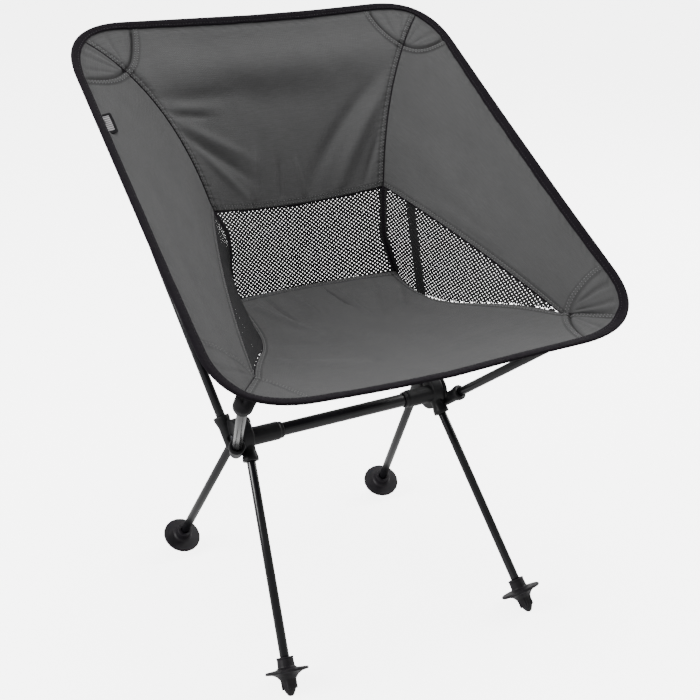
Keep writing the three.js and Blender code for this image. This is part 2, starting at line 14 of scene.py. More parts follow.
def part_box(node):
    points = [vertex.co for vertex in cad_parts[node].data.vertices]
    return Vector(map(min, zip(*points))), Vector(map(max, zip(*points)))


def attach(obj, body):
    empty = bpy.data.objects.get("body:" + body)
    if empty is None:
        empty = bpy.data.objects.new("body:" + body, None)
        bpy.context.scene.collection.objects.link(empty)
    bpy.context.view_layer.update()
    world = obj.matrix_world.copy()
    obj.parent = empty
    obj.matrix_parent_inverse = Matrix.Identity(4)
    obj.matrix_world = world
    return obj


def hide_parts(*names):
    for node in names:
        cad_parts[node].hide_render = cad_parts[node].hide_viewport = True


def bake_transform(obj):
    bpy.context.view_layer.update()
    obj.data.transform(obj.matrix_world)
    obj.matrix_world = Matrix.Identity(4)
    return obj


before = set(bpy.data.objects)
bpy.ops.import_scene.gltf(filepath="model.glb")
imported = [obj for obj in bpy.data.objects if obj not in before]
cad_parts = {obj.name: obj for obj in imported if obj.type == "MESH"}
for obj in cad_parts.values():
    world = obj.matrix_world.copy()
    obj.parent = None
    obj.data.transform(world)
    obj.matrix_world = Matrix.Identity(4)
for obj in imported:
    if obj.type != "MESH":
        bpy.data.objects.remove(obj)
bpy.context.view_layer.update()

MM = 0.001
FRAME_BODY = "frame_and_sling"
DETAIL = 1.0
SIDES = {"right": 1.0, "left": -1.0}
FLIP = {side: np.array([hand, 1.0, 1.0]) for side, hand in SIDES.items()}  # right half to either half
ACROSS, UPRIGHT = np.array([1.0, 0.0, 0.0]), np.array([0.0, 1.0, 1.0])

bar_low, bar_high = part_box("crossbar")
ORIGIN = np.array([0.0, (bar_low.y + bar_high.y) / 2, 0.0])


def point(x, y, z):
    return np.array([x, y, z]) * MM + ORIGIN


# -------- camera
LENS = 62.0
CAMERA_PLACE = point(-657.1, -1183.3, 886.5)
CAMERA_DOWN, CAMERA_TURN = 22.48, -29.37  # degrees below level, and round Z
FARTHEST = 50


def link_object(name, data):
    obj = bpy.data.objects.new(name, data)
    bpy.context.scene.collection.objects.link(obj)
    return obj


def make_camera():
    data = bpy.data.cameras.new("camera")
    data.lens = LENS
    data.clip_end = FARTHEST
    camera = link_object("camera", data)
    camera.location = CAMERA_PLACE
    camera.rotation_euler = (math.radians(90 - CAMERA_DOWN), 0, math.radians(CAMERA_TURN))
    bpy.context.scene.camera = camera


make_camera()


# -------- mesh helpers
def new_object(name, verts, faces, uvs=None, smooth=True):
    """verts may be a net. uvs is one (u, v) pair for each vertex."""
    mesh = bpy.data.meshes.new(name)
    places = np.asarray(verts, float).reshape(-1, 3)
    mesh.from_pydata(places.tolist(), [], [tuple(int(i) for i in face) for face in faces])
    if uvs is not None:
        layer = mesh.uv_layers.new(name="thread")
        index = np.empty(len(mesh.loops), np.int32)
        mesh.loops.foreach_get("vertex_index", index)
        layer.data.foreach_set("uv", np.asarray(uvs, np.float32).reshape(-1, 2)[index].ravel())
    mesh.polygons.foreach_set("use_smooth", np.full(len(mesh.polygons), smooth))
    mesh.update()
    return link_object(name, mesh)


def modify(obj, **steps):
    """Applies modifiers in order. Each step is a modifier's type in small letters, with its settings."""
    for kind, settings in steps.items():
        modifier = obj.modifiers.new(kind, kind.upper())
        for key, value in settings.items():
            setattr(modifier, key, value)
    bpy.context.view_layer.update()
    graph = bpy.context.evaluated_depsgraph_get()
    mesh = bpy.data.meshes.new_from_object(obj.evaluated_get(graph), depsgraph=graph)
    obj.modifiers.clear()
    obj.data = mesh


def thicken(obj, thickness):
    modify(obj, solidify={"thickness": thickness, "offset": 0.0})


def grid_faces(rows, columns, close_rows=False, close_columns=False):
    faces = []
    for j in range(rows if close_rows else rows - 1):
        below, above = j * columns, ((j + 1) % rows) * columns
        for i in range(columns if close_columns else columns - 1):
            after = (i + 1) % columns
            faces.append((below + i, below + after, above + after, above + i))
    return faces


def tube_faces(rows, around):
    """Faces of rings that follow each other, with a cap on each end."""
    faces = grid_faces(rows, around, close_columns=True)
    first, last = tuple(range(around)), tuple(range((rows - 1) * around, rows * around))
    return [*faces, first[::-1], last]


def shifted(faces, first):
    return [tuple(first + k for k in face) for face in faces]


def dress(obj, material):
    obj.data.materials.clear()
    obj.data.materials.append(material)


def finish_piece(obj, material, body=FRAME_BODY, stands_for=()):
    dress(obj, material)
    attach(obj, body)
    if stands_for:
        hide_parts(*stands_for)
    return obj


# -------- materials
class Nodes:
    """Short spelling for building one node material. Keywords name the shader's inputs."""

    def __init__(self, name, **shader):
        self.material = bpy.data.materials.new(name)
        self.material.use_nodes = True
        self.tree = self.material.node_tree
        self.shader = self.tree.nodes["Principled BSDF"]
        for key, value in shader.items():
            self.put(self.shader.inputs[key.replace("_", " ")], value)

    def put(self, socket, value):
        if isinstance(value, bpy.types.NodeSocket):
            self.tree.links.new(value, socket)
        else:
            socket.default_value = value

    def add(self, kind, **values):
        """A node whose keywords name its inputs, with _ for a space, or else its settings."""
        node = self.tree.nodes.new(kind)
        for key, value in values.items():
            spaced = key.replace("_", " ")
            if spaced in node.inputs:
                self.put(node.inputs[spaced], value)
            else:
                setattr(node, key, value)
        return node

    def math(self, operation, *values):
        node = self.add("ShaderNodeMath", operation=operation)
        for socket, value in zip(node.inputs, values):
            self.put(socket, value)
        return node.outputs[0]

    def total(self, *parts):
        """Sum of (output, weight) pairs."""
        total = 0.0
        for output, weight in parts:
            total = self.math("MULTIPLY_ADD", output, weight, total)
        return total

    def wave(self, coordinate, pitch):
        """0 to 1 and back once in each pitch, along one coordinate in metres."""
        sine = self.math("SINE", self.math("MULTIPLY", coordinate, 2 * math.pi / pitch))
        return self.math("MULTIPLY_ADD", sine, 0.5, 0.5)

    def noise(self, vector, scale, detail=3.0, roughness=0.5):
        node = self.add("ShaderNodeTexNoise", Vector=vector, Scale=scale, Detail=detail, Roughness=roughness)
        return node.outputs["Fac"]

    def ramp(self, factor, dark_at, dark, light_at, light):
        node = self.add("ShaderNodeValToRGB", Fac=factor)
        stops = ((dark_at, dark), (light_at, light))
        for element, (position, colour) in zip(node.color_ramp.elements, stops):
            element.position = position
            element.color = (*colour, 1.0)
        return node.outputs["Color"]

    def span(self, factor, low, high):
        return self.add("ShaderNodeMapRange", Value=factor, To_Min=low, To_Max=high).outputs["Result"]

    def cloth_axes(self):
        """Places on a cloth in metres: both together, and each alone."""
        uv = self.add("ShaderNodeUVMap", uv_map="thread").outputs["UV"]
        split = self.add("ShaderNodeSeparateXYZ", Vector=uv)
        return uv, split.outputs["X"], split.outputs["Y"]

    def finish(self, colour, roughness, height, relief):
        """Links the look to the shader. relief is the bump's depth in metres and its strength."""
        bump = self.add("ShaderNodeBump", Height=height, Distance=relief[0], Strength=relief[1])
        self.put(self.shader.inputs["Base Color"], colour)
        self.put(self.shader.inputs["Roughness"], roughness)
        self.put(self.shader.inputs["Normal"], bump.outputs["Normal"])
        return self.material


THREAD_PITCH, CHECK_PITCH = 1.2 * MM, 2.7 * MM


def woven_cloth(name, dark, light):
    """Plain-woven polyester: fine threads, a faint check of thicker threads, and cloudy dye.

    The mesh attribute "crease" is painted shade: it darkens the colour of needle lines, the bottoms of seams
    and the grooves of corner pieces, where shade falls.
    """
    nodes = Nodes(name, Sheen_Weight=0.05, Sheen_Roughness=0.4, Specular_IOR_Level=0.25)
    uv, *axes = nodes.cloth_axes()
    weave = nodes.math("MULTIPLY", *[nodes.wave(axis, THREAD_PITCH) for axis in axes])
    check = nodes.math("MAXIMUM", *[nodes.math("POWER", nodes.wave(axis, CHECK_PITCH), 8.0) for axis in axes])
    cloud = nodes.noise(uv, 14.0, 4.0)
    slub = nodes.noise(uv, 620.0, 3.0, 0.6)
    along_weft = nodes.add("ShaderNodeMapping", Vector=uv, Scale=(1.0, 7.0, 1.0)).outputs["Vector"]
    streak = nodes.noise(along_weft, 48.0, 3.0, 0.6)
    tone = nodes.total((weave, 0.2), (cloud, 0.2), (slub, 0.3), (streak, 0.3), (check, -0.1))
    # Painted shade: the dye is mixed towards a near-black copy of itself as far as the crease attribute says.
    crease = nodes.add("ShaderNodeAttribute", attribute_name="crease").outputs["Fac"]
    painted_shade = nodes.add("ShaderNodeMix", data_type="RGBA", Factor=nodes.math("MULTIPLY", crease, 0.92),
                     A=nodes.ramp(tone, 0.15, dark, 0.75, light), B=(*[0.15 * c for c in dark], 1))
    height = nodes.total((weave, 1.0), (check, 0.8), (slub, 0.5), (streak, 1.2))
    return nodes.finish(painted_shade.outputs["Result"], nodes.span(slub, 0.7, 0.88), height, (0.14 * MM, 0.8))


def ribbed_tape(name, dark, light, pitch=1.4 * MM):
    nodes = Nodes(name, Sheen_Weight=0.02, Sheen_Roughness=0.5, Specular_IOR_Level=0.08)
    uv, across, _ = nodes.cloth_axes()
    ribs = nodes.wave(across, pitch)
    fibres = nodes.noise(uv, 1500.0, 2.0)
    patches = nodes.noise(uv, 40.0, 2.0)
    colour = nodes.ramp(nodes.total((ribs, 0.4), (fibres, 0.3), (patches, 0.3)), 0.2, dark, 0.8, light)
    height = nodes.total((ribs, 1.0), (fibres, 0.5))
    return nodes.finish(colour, nodes.span(fibres, 0.7, 0.92), height, (0.2 * MM, 0.8))


def grained(name, dark, light, roughness, fine, relief, cloud=None, cloud_share=0.0, light_at=0.7, **shader):
    """Fine grain, with colour that follows slow clouds, or the grain if there are none."""
    nodes = Nodes(name, **shader)
    place = nodes.add("ShaderNodeTexCoord").outputs["Object"]
    grain = nodes.noise(place, *fine)
    slow = nodes.noise(place, cloud) if cloud else grain
    gloss = nodes.span(nodes.total((slow, cloud_share), (grain, 1 - cloud_share)), *roughness)
    return nodes.finish(nodes.ramp(slow, 0.3, dark, light_at, light), gloss, grain, relief)


FIBRES = {"roughness": (0.6, 0.85), "Specular_IOR_Level": 0.3}
TWISTED = {**FIBRES, "fine": (3000.0, 2.0), "relief": (0.08 * MM, 0.6), "Sheen_Weight": 0.2}
KNITTED = {**FIBRES, "fine": (2200.0, 2.0), "relief": (0.2 * MM, 0.8)}
MOULDED = {"fine": (1400.0, 3.0, 0.6), "relief": (0.06 * MM, 0.5), "cloud": 60.0, "cloud_share": 0.4,
           "light_at": 0.75, "Specular_IOR_Level": 0.3}
ANODISED = {"roughness": (0.14, 0.27), "fine": (700.0, 4.0, 0.7), "relief": (0.01 * MM, 0.4), "cloud": 30.0,
            "cloud_share": 0.6, "IOR": 1.5, "Specular_IOR_Level": 0.42}
METAL = {"fine": (900.0, 2.0), "relief": (0.02 * MM, 0.4), "Metallic": 1.0}

GREY_CLOTH = woven_cloth("grey_polyester", (0.046, 0.046, 0.0467), (0.088, 0.088, 0.0885))
BLACK_CLOTH = woven_cloth("black_polyester", (0.006, 0.006, 0.007), (0.011, 0.010, 0.012))
MESH_CLOTH = grained("black_mesh", (0.004, 0.004, 0.005), (0.012, 0.012, 0.013), **KNITTED)
TAPE = ribbed_tape("black_tape", (0.004, 0.003, 0.0045), (0.011, 0.0085, 0.012))
LABEL_CLOTH = ribbed_tape("label_black", (0.006, 0.006, 0.007), (0.013, 0.012, 0.014), 0.7 * MM)
LABEL_FIELD = ribbed_tape("label_field", (0.05, 0.048, 0.05), (0.42, 0.41, 0.42), 3.1 * MM)
ELASTIC = ribbed_tape("braided_elastic", (0.006, 0.006, 0.007), (0.02, 0.02, 0.022), 0.9 * MM)
GREY_THREAD = grained("grey_thread", (0.1, 0.1, 0.101), (0.17, 0.17, 0.172), **TWISTED)
DARK_THREAD = grained("dark_thread", (0.006, 0.005, 0.007), (0.02, 0.016, 0.021), **TWISTED)
CORD_BRAID = grained("cord_braid", (0.01, 0.01, 0.011), (0.03, 0.03, 0.032), **TWISTED)
TUBE_BLACK = grained("black_anodised", (0.004, 0.004, 0.005), (0.009, 0.009, 0.011), **ANODISED)
HUB_BLACK = grained("hub_nylon", (0.005, 0.005, 0.006), (0.011, 0.011, 0.012), (0.38, 0.55), **MOULDED)
FOOT_BLACK = grained("foot_nylon", (0.006, 0.005, 0.007), (0.013, 0.011, 0.014), (0.42, 0.6), **MOULDED)
SCREW_BLACK = grained("screw_plate", (0.03, 0.03, 0.034), (0.07, 0.07, 0.075), (0.28, 0.42), **METAL)
ALLOY = grained("drawn_alloy", (0.48, 0.49, 0.5), (0.62, 0.63, 0.65), (0.25, 0.4), **METAL)


# -------- curves: functions of t from 0 to 1
CURVE_SAMPLES = 240
CURVE_STEP = 2e-3  # of t, to find a curve's direction


def smooth_step(x, low, high):
    t = np.clip((x - low) / (high - low), 0, 1)
    return t * t * (3 - 2 * t)


def bell(x, width):
    return np.exp(-((x / width) ** 2))


def ripple(x, pitch, phase=0.0):
    """Uneven waves about one pitch long: three sines whose lengths share no ratio."""
    k = 2 * np.pi / pitch
    return (np.sin(k * x + phase) + 0.6 * np.sin(1.618 * k * x + 2.1 * phase + 1.3)
            + 0.4 * np.sin(0.531 * k * x + 0.7 * phase + 4.0)) / 2.0


def unit(vectors):
    return vectors / np.linalg.norm(vectors, axis=-1, keepdims=True)


def square_to(vectors, way):
    """Unit vectors: the part of each that is square to way."""
    return unit(vectors - way * np.sum(vectors * way, -1, keepdims=True))


def run_of(points):
    """Length along a row of points, for each point."""
    return np.concatenate([[0], np.cumsum(np.linalg.norm(np.diff(points, axis=0), axis=1))])


def read_at(places, run, values):
    """Rows of values, read at places along their run."""
    return np.stack([np.interp(places, run, column) for column in values.T], -1)


def bezier(*points):
    """A Bezier curve on two or more points."""
    def curve(t):
        t = np.asarray(t, float)[..., None]
        layer = [np.broadcast_to(p, t.shape[:-1] + (3,)) for p in points]
        while len(layer) > 1:
            layer = [a + (b - a) * t for a, b in zip(layer, layer[1:])]
        return layer[0]
    return curve


def part(curve, start, end):
    return lambda t: curve(start + (end - start) * np.asarray(t, float))


def mirror(curve):
    return lambda t: curve(t) * FLIP["left"]


def backward(curve):
    return lambda t: curve(1 - np.asarray(t, float))


def chain(*curves):
    """Curves joined end to end, evenly spread over t by length."""
    t = np.linspace(0, 1, CURVE_SAMPLES)
    path = np.concatenate([curve(t)[min(k, 1):] for k, curve in enumerate(curves)])
    run = run_of(path)
    run /= run[-1]
    return lambda t: read_at(t, run, path)


def inward_of(curve, t, target):
    """The direction from curve towards target, square to the curve."""
    t = np.asarray(t, float)
    way = unit(curve(np.minimum(t + CURVE_STEP, 1)) - curve(np.maximum(t - CURVE_STEP, 0)))
    return square_to(target - curve(t), way)


# -------- sling outline and seams
TOP_CORNER = point(254, 238, 699)
FRONT_CORNER = point(263, -239, 392)
TOP_MIDDLE = point(0, 240, 696)
FRONT_MIDDLE = point(0, -238.5, 384)
TOP_CUT = 84 * MM
FRONT_CUT_SIDE, FRONT_CUT_FRONT = 85 * MM, 100 * MM
MESH_TOP = point(118, 107, 490.6)
MESH_BOTTOM = {"right": point(119, 75.5, 385), "left": point(112, 75.5, 385)}
MESH_POINT = point(195, -160, 391)
MESH_TOP_MIDDLE = point(0, 121, 479.5)
MESH_BOTTOM_MIDDLE = point(0, 97, 380)
SEAT_MIDDLE = point(0, -70, 361)
UNDER_TAPE = 5 * MM


def toward(start, end, distance):
    return start + unit(end - start) * distance


top_a = toward(TOP_CORNER, TOP_MIDDLE, TOP_CUT)
top_b = toward(TOP_CORNER, FRONT_CORNER, TOP_CUT)
front_a = toward(FRONT_CORNER, TOP_CORNER, FRONT_CUT_SIDE)
front_b = toward(FRONT_CORNER, FRONT_MIDDLE, FRONT_CUT_FRONT)
top_corner = bezier(top_a, TOP_CORNER, top_b)
front_corner = bezier(front_a, FRONT_CORNER, front_b)

SETTLED = 3.5 * MM  # how far right the sides hang, and below: what the front right corner adds
SETTLED_CORNER = 5.0 * MM
FRONT_RISE, TOP_RISE = 3.0 * MM, 2.5 * MM


def settled(points):
    """The sling as it hangs: pulled a little to the right, with one front corner up and the other down."""
    points = np.asarray(points, float)
    x, y, z = np.moveaxis(points, -1, 0)
    front, top = smooth_step(-y, 60 * MM, 210 * MM), smooth_step(z, 560 * MM, 690 * MM)
    left, right = smooth_step(-x, 60 * MM, 220 * MM), smooth_step(x, 60 * MM, 220 * MM)
    shift = SETTLED * smooth_step(np.abs(x), 120 * MM, 220 * MM) + SETTLED_CORNER * front * right
    rise = FRONT_RISE * front * (left - right) + TOP_RISE * top * right
    return points + np.stack([shift, np.zeros_like(shift), rise], -1)


# Outline of the right half: back from the middle outward, side from top to front, seat outward
back_half = chain(bezier(TOP_MIDDLE, top_a), part(top_corner, 0, 0.5))
side_edge = chain(part(top_corner, 0.5, 1), bezier(top_b, front_a), part(front_corner, 0, 0.5))
seat_half = chain(bezier(FRONT_MIDDLE, front_b), part(front_corner, 1, 0.5))
back_edge = chain(backward(mirror(back_half)), back_half)
seat_edge = chain(backward(mirror(seat_half)), seat_half)


def sagging(left, right, middle):
    """A level seam from a left corner (given as its mirror image) through its lower middle to the right."""
    def curve(t):
        across = 2 * np.asarray(t, float)[..., None] - 1
        corner = np.where(across < 0, left, right)
        sag = middle + (corner - middle) * across**2
        return sag * UPRIGHT + corner * ACROSS * across
    return curve


# Where the cloth inside each edge runs to
back_target = sagging(MESH_TOP, MESH_TOP, MESH_TOP)
side_target = bezier(MESH_TOP, MESH_POINT)
seat_target = sagging(MESH_POINT, MESH_POINT, SEAT_MIDDLE)


def inset(curve, target):
    return lambda t: curve(t) + inward_of(curve, t, target(t)) * UNDER_TAPE


back_inner = inset(back_edge, back_target)
side_inner = inset(side_edge, side_target)
seat_inner = inset(seat_edge, seat_target)
top_seam = bezier(MESH_TOP, point(144, 150, 626), side_inner(0.0))
corner_seam = bezier(MESH_POINT, side_inner(1.0))
# The cloth hangs a little to the right, so the edges of the two side windows differ
window_top = {
    "right": bezier(MESH_TOP, point(158, -24, 451), MESH_POINT),
    "left": bezier(MESH_TOP, point(169, -24, 446), MESH_POINT),
}
window_bottom = {
    "right": bezier(MESH_BOTTOM["right"], point(120, -11, 343), point(151, -76, 399), MESH_POINT),
    "left": bezier(MESH_BOTTOM["left"], point(110.5, -68, 360), point(152, -66, 387), MESH_POINT),
}
KINK = {"right": point(108.5, 90, 432), "left": point(102.5, 97, 460)}
window_side = {side: bezier(MESH_BOTTOM[side], *[KINK[side]] * 3, MESH_TOP) for side in SIDES}
seat_side = {side: chain(window_bottom[side], corner_seam) for side in SIDES}


back_mesh_top = sagging(MESH_TOP, MESH_TOP, MESH_TOP_MIDDLE)
back_mesh_bottom = sagging(MESH_BOTTOM["left"], MESH_BOTTOM["right"], MESH_BOTTOM_MIDDLE)


# -------- stretched surfaces: nets of points, rows from bottom to top, columns from left to right
def coons(bottom, top, left, right, columns, rows):
    u, v = np.linspace(0, 1, columns), np.linspace(0, 1, rows)
    low, high = chain(bottom)(u)[None], chain(top)(u)[None]
    near, far = chain(left)(v)[:, None], chain(right)(v)[:, None]
    uu, vv = u[None, :, None], v[:, None, None]
    corners = (low[:, :1] * (1 - uu) * (1 - vv) + low[:, -1:] * uu * (1 - vv)
               + high[:, :1] * (1 - uu) * vv + high[:, -1:] * uu * vv)
    return low * (1 - vv) + high * vv + near * (1 - uu) + far * uu - corners


RELAX_ROUNDS = 900


def relaxed(net, load):
    """Evens a net out like stretched cloth, bulged by a load: its direction and its strength."""
    push = np.array(load) * 8.0 / (max(net.shape[:2]) ** 2)
    net = net.copy()
    for _ in range(RELAX_ROUNDS):
        around = net[1:-1, :-2] + net[1:-1, 2:] + net[:-2, 1:-1] + net[2:, 1:-1]
        net[1:-1, 1:-1] = around / 4 + push
    return net


def refined(net, columns, rows):
    """The net at more points: cubic (Catmull-Rom) between its own rows, then its own columns."""
    for count in (rows, columns):
        place = np.linspace(0, len(net) - 1, count)
        base = np.minimum(place.astype(int), len(net) - 2)
        f = (place - base)[:, None, None]
        padded = np.concatenate([2 * net[:1] - net[1:2], net, 2 * net[-1:] - net[-2:-1]])
        a, b, c, d = (padded[base + k] for k in range(4))
        bend, twist = 2 * a - 5 * b + 4 * c - d, 3 * (b - c) + d - a
        net = (b + 0.5 * f * (c - a + f * (bend + f * twist))).swapaxes(0, 1)
    return net


def bilinear(values, u, v):
    """Values of a net at arrays of u across it and v up it, from 0 to 1."""
    rows, columns = values.shape[:2]
    x, y = np.clip(u, 0, 1) * (columns - 1), np.clip(v, 0, 1) * (rows - 1)
    i, j = np.minimum(x.astype(int), columns - 2), np.minimum(y.astype(int), rows - 2)
    fx, fy = (x - i)[..., None], (y - j)[..., None]
    low = values[j, i] * (1 - fx) + values[j, i + 1] * fx
    high = values[j + 1, i] * (1 - fx) + values[j + 1, i + 1] * fx
    return low * (1 - fy) + high * fy


def lengths(net, axis):
    """Length along a net from its first line, for every point."""
    step = np.linalg.norm(np.diff(net, axis=axis), axis=-1)
    first = np.zeros_like(np.take(step, [0], axis))
    return np.concatenate([first, np.cumsum(step, axis=axis)], axis=axis)


CLOTH_STEP = 1.3 * MM / DETAIL
CLOTH_THICK = 0.5 * MM
ARC = 92 * MM  # radius of the sewn corner pieces
HEM = 7 * MM  # width of a turned and topstitched hem
NEEDLE_LINES = (2.2 * MM, 6.0 * MM)  # rows of stitches in a hem, from its edge
CORNER_NEEDLES = (1.4 * MM, 5.0 * MM)  # rows of stitches outside a corner seam
NEEDLE_WIDTH = 0.8 * MM  # of the painted shade line where a row of stitches presses in
SEAM_DIP = 1.1 * MM  # how far cloth turns down into a seam
HEM_RISE, FELLED_RISE = 0.6 * MM, 0.2 * MM  # how far the turned layers stand up
HEM_PUCKER, SEAM_PUCKER = 0.3 * MM, 0.2 * MM
CORNER_DIP, CORNER_RISE = 2.8 * MM, 0.9 * MM  # the groove of a corner seam, and the band outside it


class Panel:
    """One cut of cloth: a fine net on a stretched surface, with its sewn relief."""

    def __init__(self, name, net, facing, sewn):
        """sewn names how each edge is made: taped over (None), "seam", "felled" seam or "hem"."""
        self.name, self.sewn = name, sewn
        net = settled(net)
        self.flat = wide, tall = lengths(net, 1)[:, -1].max(), lengths(net, 0)[-1].max()
        self.base = refined(net, int(wide / CLOTH_STEP) + 2, int(tall / CLOTH_STEP) + 2)
        self.normal = unit(np.cross(np.gradient(self.base, axis=1), np.gradient(self.base, axis=0)))
        if np.sum(self.normal.mean((0, 1)) * facing) < 0:
            self.normal = -self.normal
        self.across, self.along = across, along = lengths(self.base, 1), lengths(self.base, 0)
        self.distance = {
            "left": across, "right": across[:, -1:] - across,
            "bottom": along, "top": along[-1:] - along,
        }
        # crease is painted shade: how far the cloth's colour is darkened where shade falls in seams, grooves,
        # fold edges and needle lines.
        self.lift, self.crease = np.zeros(across.shape), np.zeros(across.shape)
        self.arcs = []

    def sew_edges(self):
        for edge, kind in self.sewn.items():
            gap = self.distance[edge]
            run = self.along if edge in ("left", "right") else self.across
            pucker = ripple(run, 9 * MM, gap.shape[0] * 0.1) * bell(gap - 4 * MM, 7 * MM)
            if kind in ("seam", "felled"):
                self.lift += SEAM_PUCKER * pucker - SEAM_DIP * bell(gap, 1.6 * MM)
                # Painted shade at the bottom of the seam.
                self.crease += 0.8 * bell(gap, 1.1 * MM)
            if kind in ("hem", "felled"):
                start, rise = (1.2 * MM, FELLED_RISE) if kind == "felled" else (0.0, HEM_RISE)
                raised = smooth_step(gap, start, start + 1.2 * MM) - smooth_step(gap, HEM, HEM + 1.2 * MM)
                self.lift += rise * raised + HEM_PUCKER * pucker
                # Painted shade along the step at the hem's turned edge, and along its needle lines.
                self.crease += 0.45 * bell(gap - HEM - 0.8 * MM, 1.0 * MM)
                for needle in NEEDLE_LINES:
                    self.crease += 0.6 * bell(gap - needle, NEEDLE_WIDTH)
            if kind is None:
                self.lift *= smooth_step(gap, 4 * MM, 15 * MM)
                self.crease *= smooth_step(gap, 6 * MM, 12 * MM)
                self.lift -= 0.3 * MM * bell(gap - 11 * MM, 4 * MM) * (1 + ripple(run, 16 * MM))
        for edge, kind in self.sewn.items():
            if kind is not None:
                self.lift *= smooth_step(self.distance[edge], 0, 0.9 * MM)

    def sew_corner(self, corner, hub, fan, groove=1.0, trim=0.0):
        """The curved seam of a corner piece, and the pull lines that fan out from hub inside it.

        The seam bows out at the panel's edge near the hub, and trim brings its far end nearer the corner.
        """
        corner, hub = settled(corner), settled(hub)
        from_corner = self.base - corner
        distance = np.linalg.norm(from_corner, axis=-1)
        off = np.arccos(np.clip(np.sum(unit(from_corner) * unit(hub - corner), -1), -1, 1))
        reach = distance - ARC - 5 * MM * bell(off, 0.35) + trim * MM * smooth_step(off, 0.15, 0.8)
        self.arcs.append(reach)
        band = smooth_step(reach, -1.0 * MM, 0.6 * MM) - smooth_step(reach, 5.6 * MM, 7.2 * MM)
        self.lift += (0.4 + 0.6 * groove) * CORNER_RISE * band
        self.lift -= groove * CORNER_DIP * bell(reach + 2.6 * MM, 2.4 * MM)
        # Painted shade in the seam's groove and along the band's outer edge, then along the needle lines.
        self.crease += groove * bell(reach + 1.8 * MM, 1.8 * MM) + 0.4 * bell(reach - 7.0 * MM, 0.9 * MM)
        for needle in CORNER_NEEDLES:
            self.crease += (0.2 + 0.4 * groove) * bell(reach - needle, NEEDLE_WIDTH)
        from_hub = self.base - hub
        distance = np.linalg.norm(from_hub, axis=-1)
        axis = unit(corner - hub)
        side = unit(np.cross(axis, self.normal))
        angle = np.arctan2(np.sum(from_hub * side, -1), np.sum(from_hub * axis, -1))
        pull = np.sin(17 * angle + 2 * np.sin(3 * angle)) + 0.5 * np.sin(29 * angle + 1)
        inside = smooth_step(-reach, 2 * MM, 12 * MM)
        fade = smooth_step(distance, 4 * MM, 22 * MM) * (1 - smooth_step(distance, 50 * MM, 95 * MM))
        self.lift += fan * MM * pull * inside * fade
        # Painted shade in the troughs of the pull lines.
        self.crease += 0.25 * fan * np.clip(-pull, 0, 1) * inside * fade

    def fold(self, across_a, up_a, across_b, up_b, width, height, fade=0.25):
        """A soft fold between two places, given in percent of the panel's size. Its own size is in mm."""
        rows, columns = self.base.shape[:2]
        wide, tall = self.flat
        u, v = np.linspace(0, wide, columns)[None, :], np.linspace(0, tall, rows)[:, None]
        a, b = (np.array(place) / 100 * self.flat for place in ((across_a, up_a), (across_b, up_b)))
        length = np.linalg.norm(b - a)
        way = (b - a) / length
        run = ((u - a[0]) * way[0] + (v - a[1]) * way[1]) / length
        off = (u - a[0]) * way[1] - (v - a[1]) * way[0]
        ends = smooth_step(run, -fade, fade) * (1 - smooth_step(run, 1 - fade, 1 + fade))
        self.lift += height * MM * bell(off, width * MM) * ends

    def relief(self, folds):
        """Folds, and the slow unevenness of cloth under uneven pull. They die out at the shared edges."""
        for fold in folds:
            self.fold(*fold)
        x, y, z = np.moveaxis(self.base, -1, 0)
        slow = ripple(x + 0.6 * y, 74 * MM, 0.4) * ripple(z - 0.4 * y, 96 * MM, 1.9)
        fine = ripple(x - y, 23 * MM, 1.1) * ripple(z + 0.5 * x, 31 * MM, 2.7)
        self.lift += 0.8 * MM * slow + 0.1 * MM * fine
        for gap in self.distance.values():
            self.lift *= smooth_step(gap, 0, 14 * MM)

    def surface(self):
        return self.base + self.normal * self.lift[..., None]

    def at(self, u, v):
        """Points and normals of the finished surface, for arrays of u and v from 0 to 1."""
        return bilinear(self.surface(), u, v), unit(bilinear(self.normal, u, v))

    def build(self, node):
        rows, columns = self.base.shape[:2]
        wide, tall = self.flat
        uvs = np.stack(np.meshgrid(np.linspace(0, wide, columns), np.linspace(0, tall, rows)), -1)
        self.obj = new_object(self.name, self.surface(), grid_faces(rows, columns), uvs)
        # The painted shade goes to the cloth material as the crease attribute.
        shade = self.obj.data.attributes.new("crease", "FLOAT", "POINT")
        shade.data.foreach_set("value", np.clip(self.crease, 0, 1).astype(np.float32).ravel())
        thicken(self.obj, CLOTH_THICK)
        finish_piece(self.obj, GREY_CLOTH, stands_for=[node])


# Each fold: where it starts and ends (across, up), its half width and height, and how softly it ends
BACK_FOLDS = (
    # Pulled straight between the corner pieces, so it leans back above that line and hangs below it
    (6, 70, 94, 72, 38, 9.0),
    # Slack between the seams: folds that run in from the sides and up from the lower hem
    (6, 57.5, 32, 58.5, 11, -3.0, 0.45),
    (5, 49, 20, 48, 6, -2.2, 0.4),
    (6, 53, 24, 52, 8, 1.6, 0.4),
    (5, 44, 30, 26, 10, 2.6, 0.4),
    (6, 36, 28, 16, 9, -2.6, 0.4),
    (8, 28, 22, 8, 9, 2.0, 0.4),
    (28, 62, 60, 54, 26, -3.4, 0.4),
    (98, 52, 76, 8, 17, 4.6, 0.4),
    (88, 52, 62, 12, 14, -3.6, 0.4),
    (97, 28, 90, 6, 9, -2.0, 0.4),
    (26, 2, 36, 28, 8, 2.2),
    (42, 2, 46, 22, 6, -1.8),
    (56, 2, 54, 20, 7, 1.8),
)
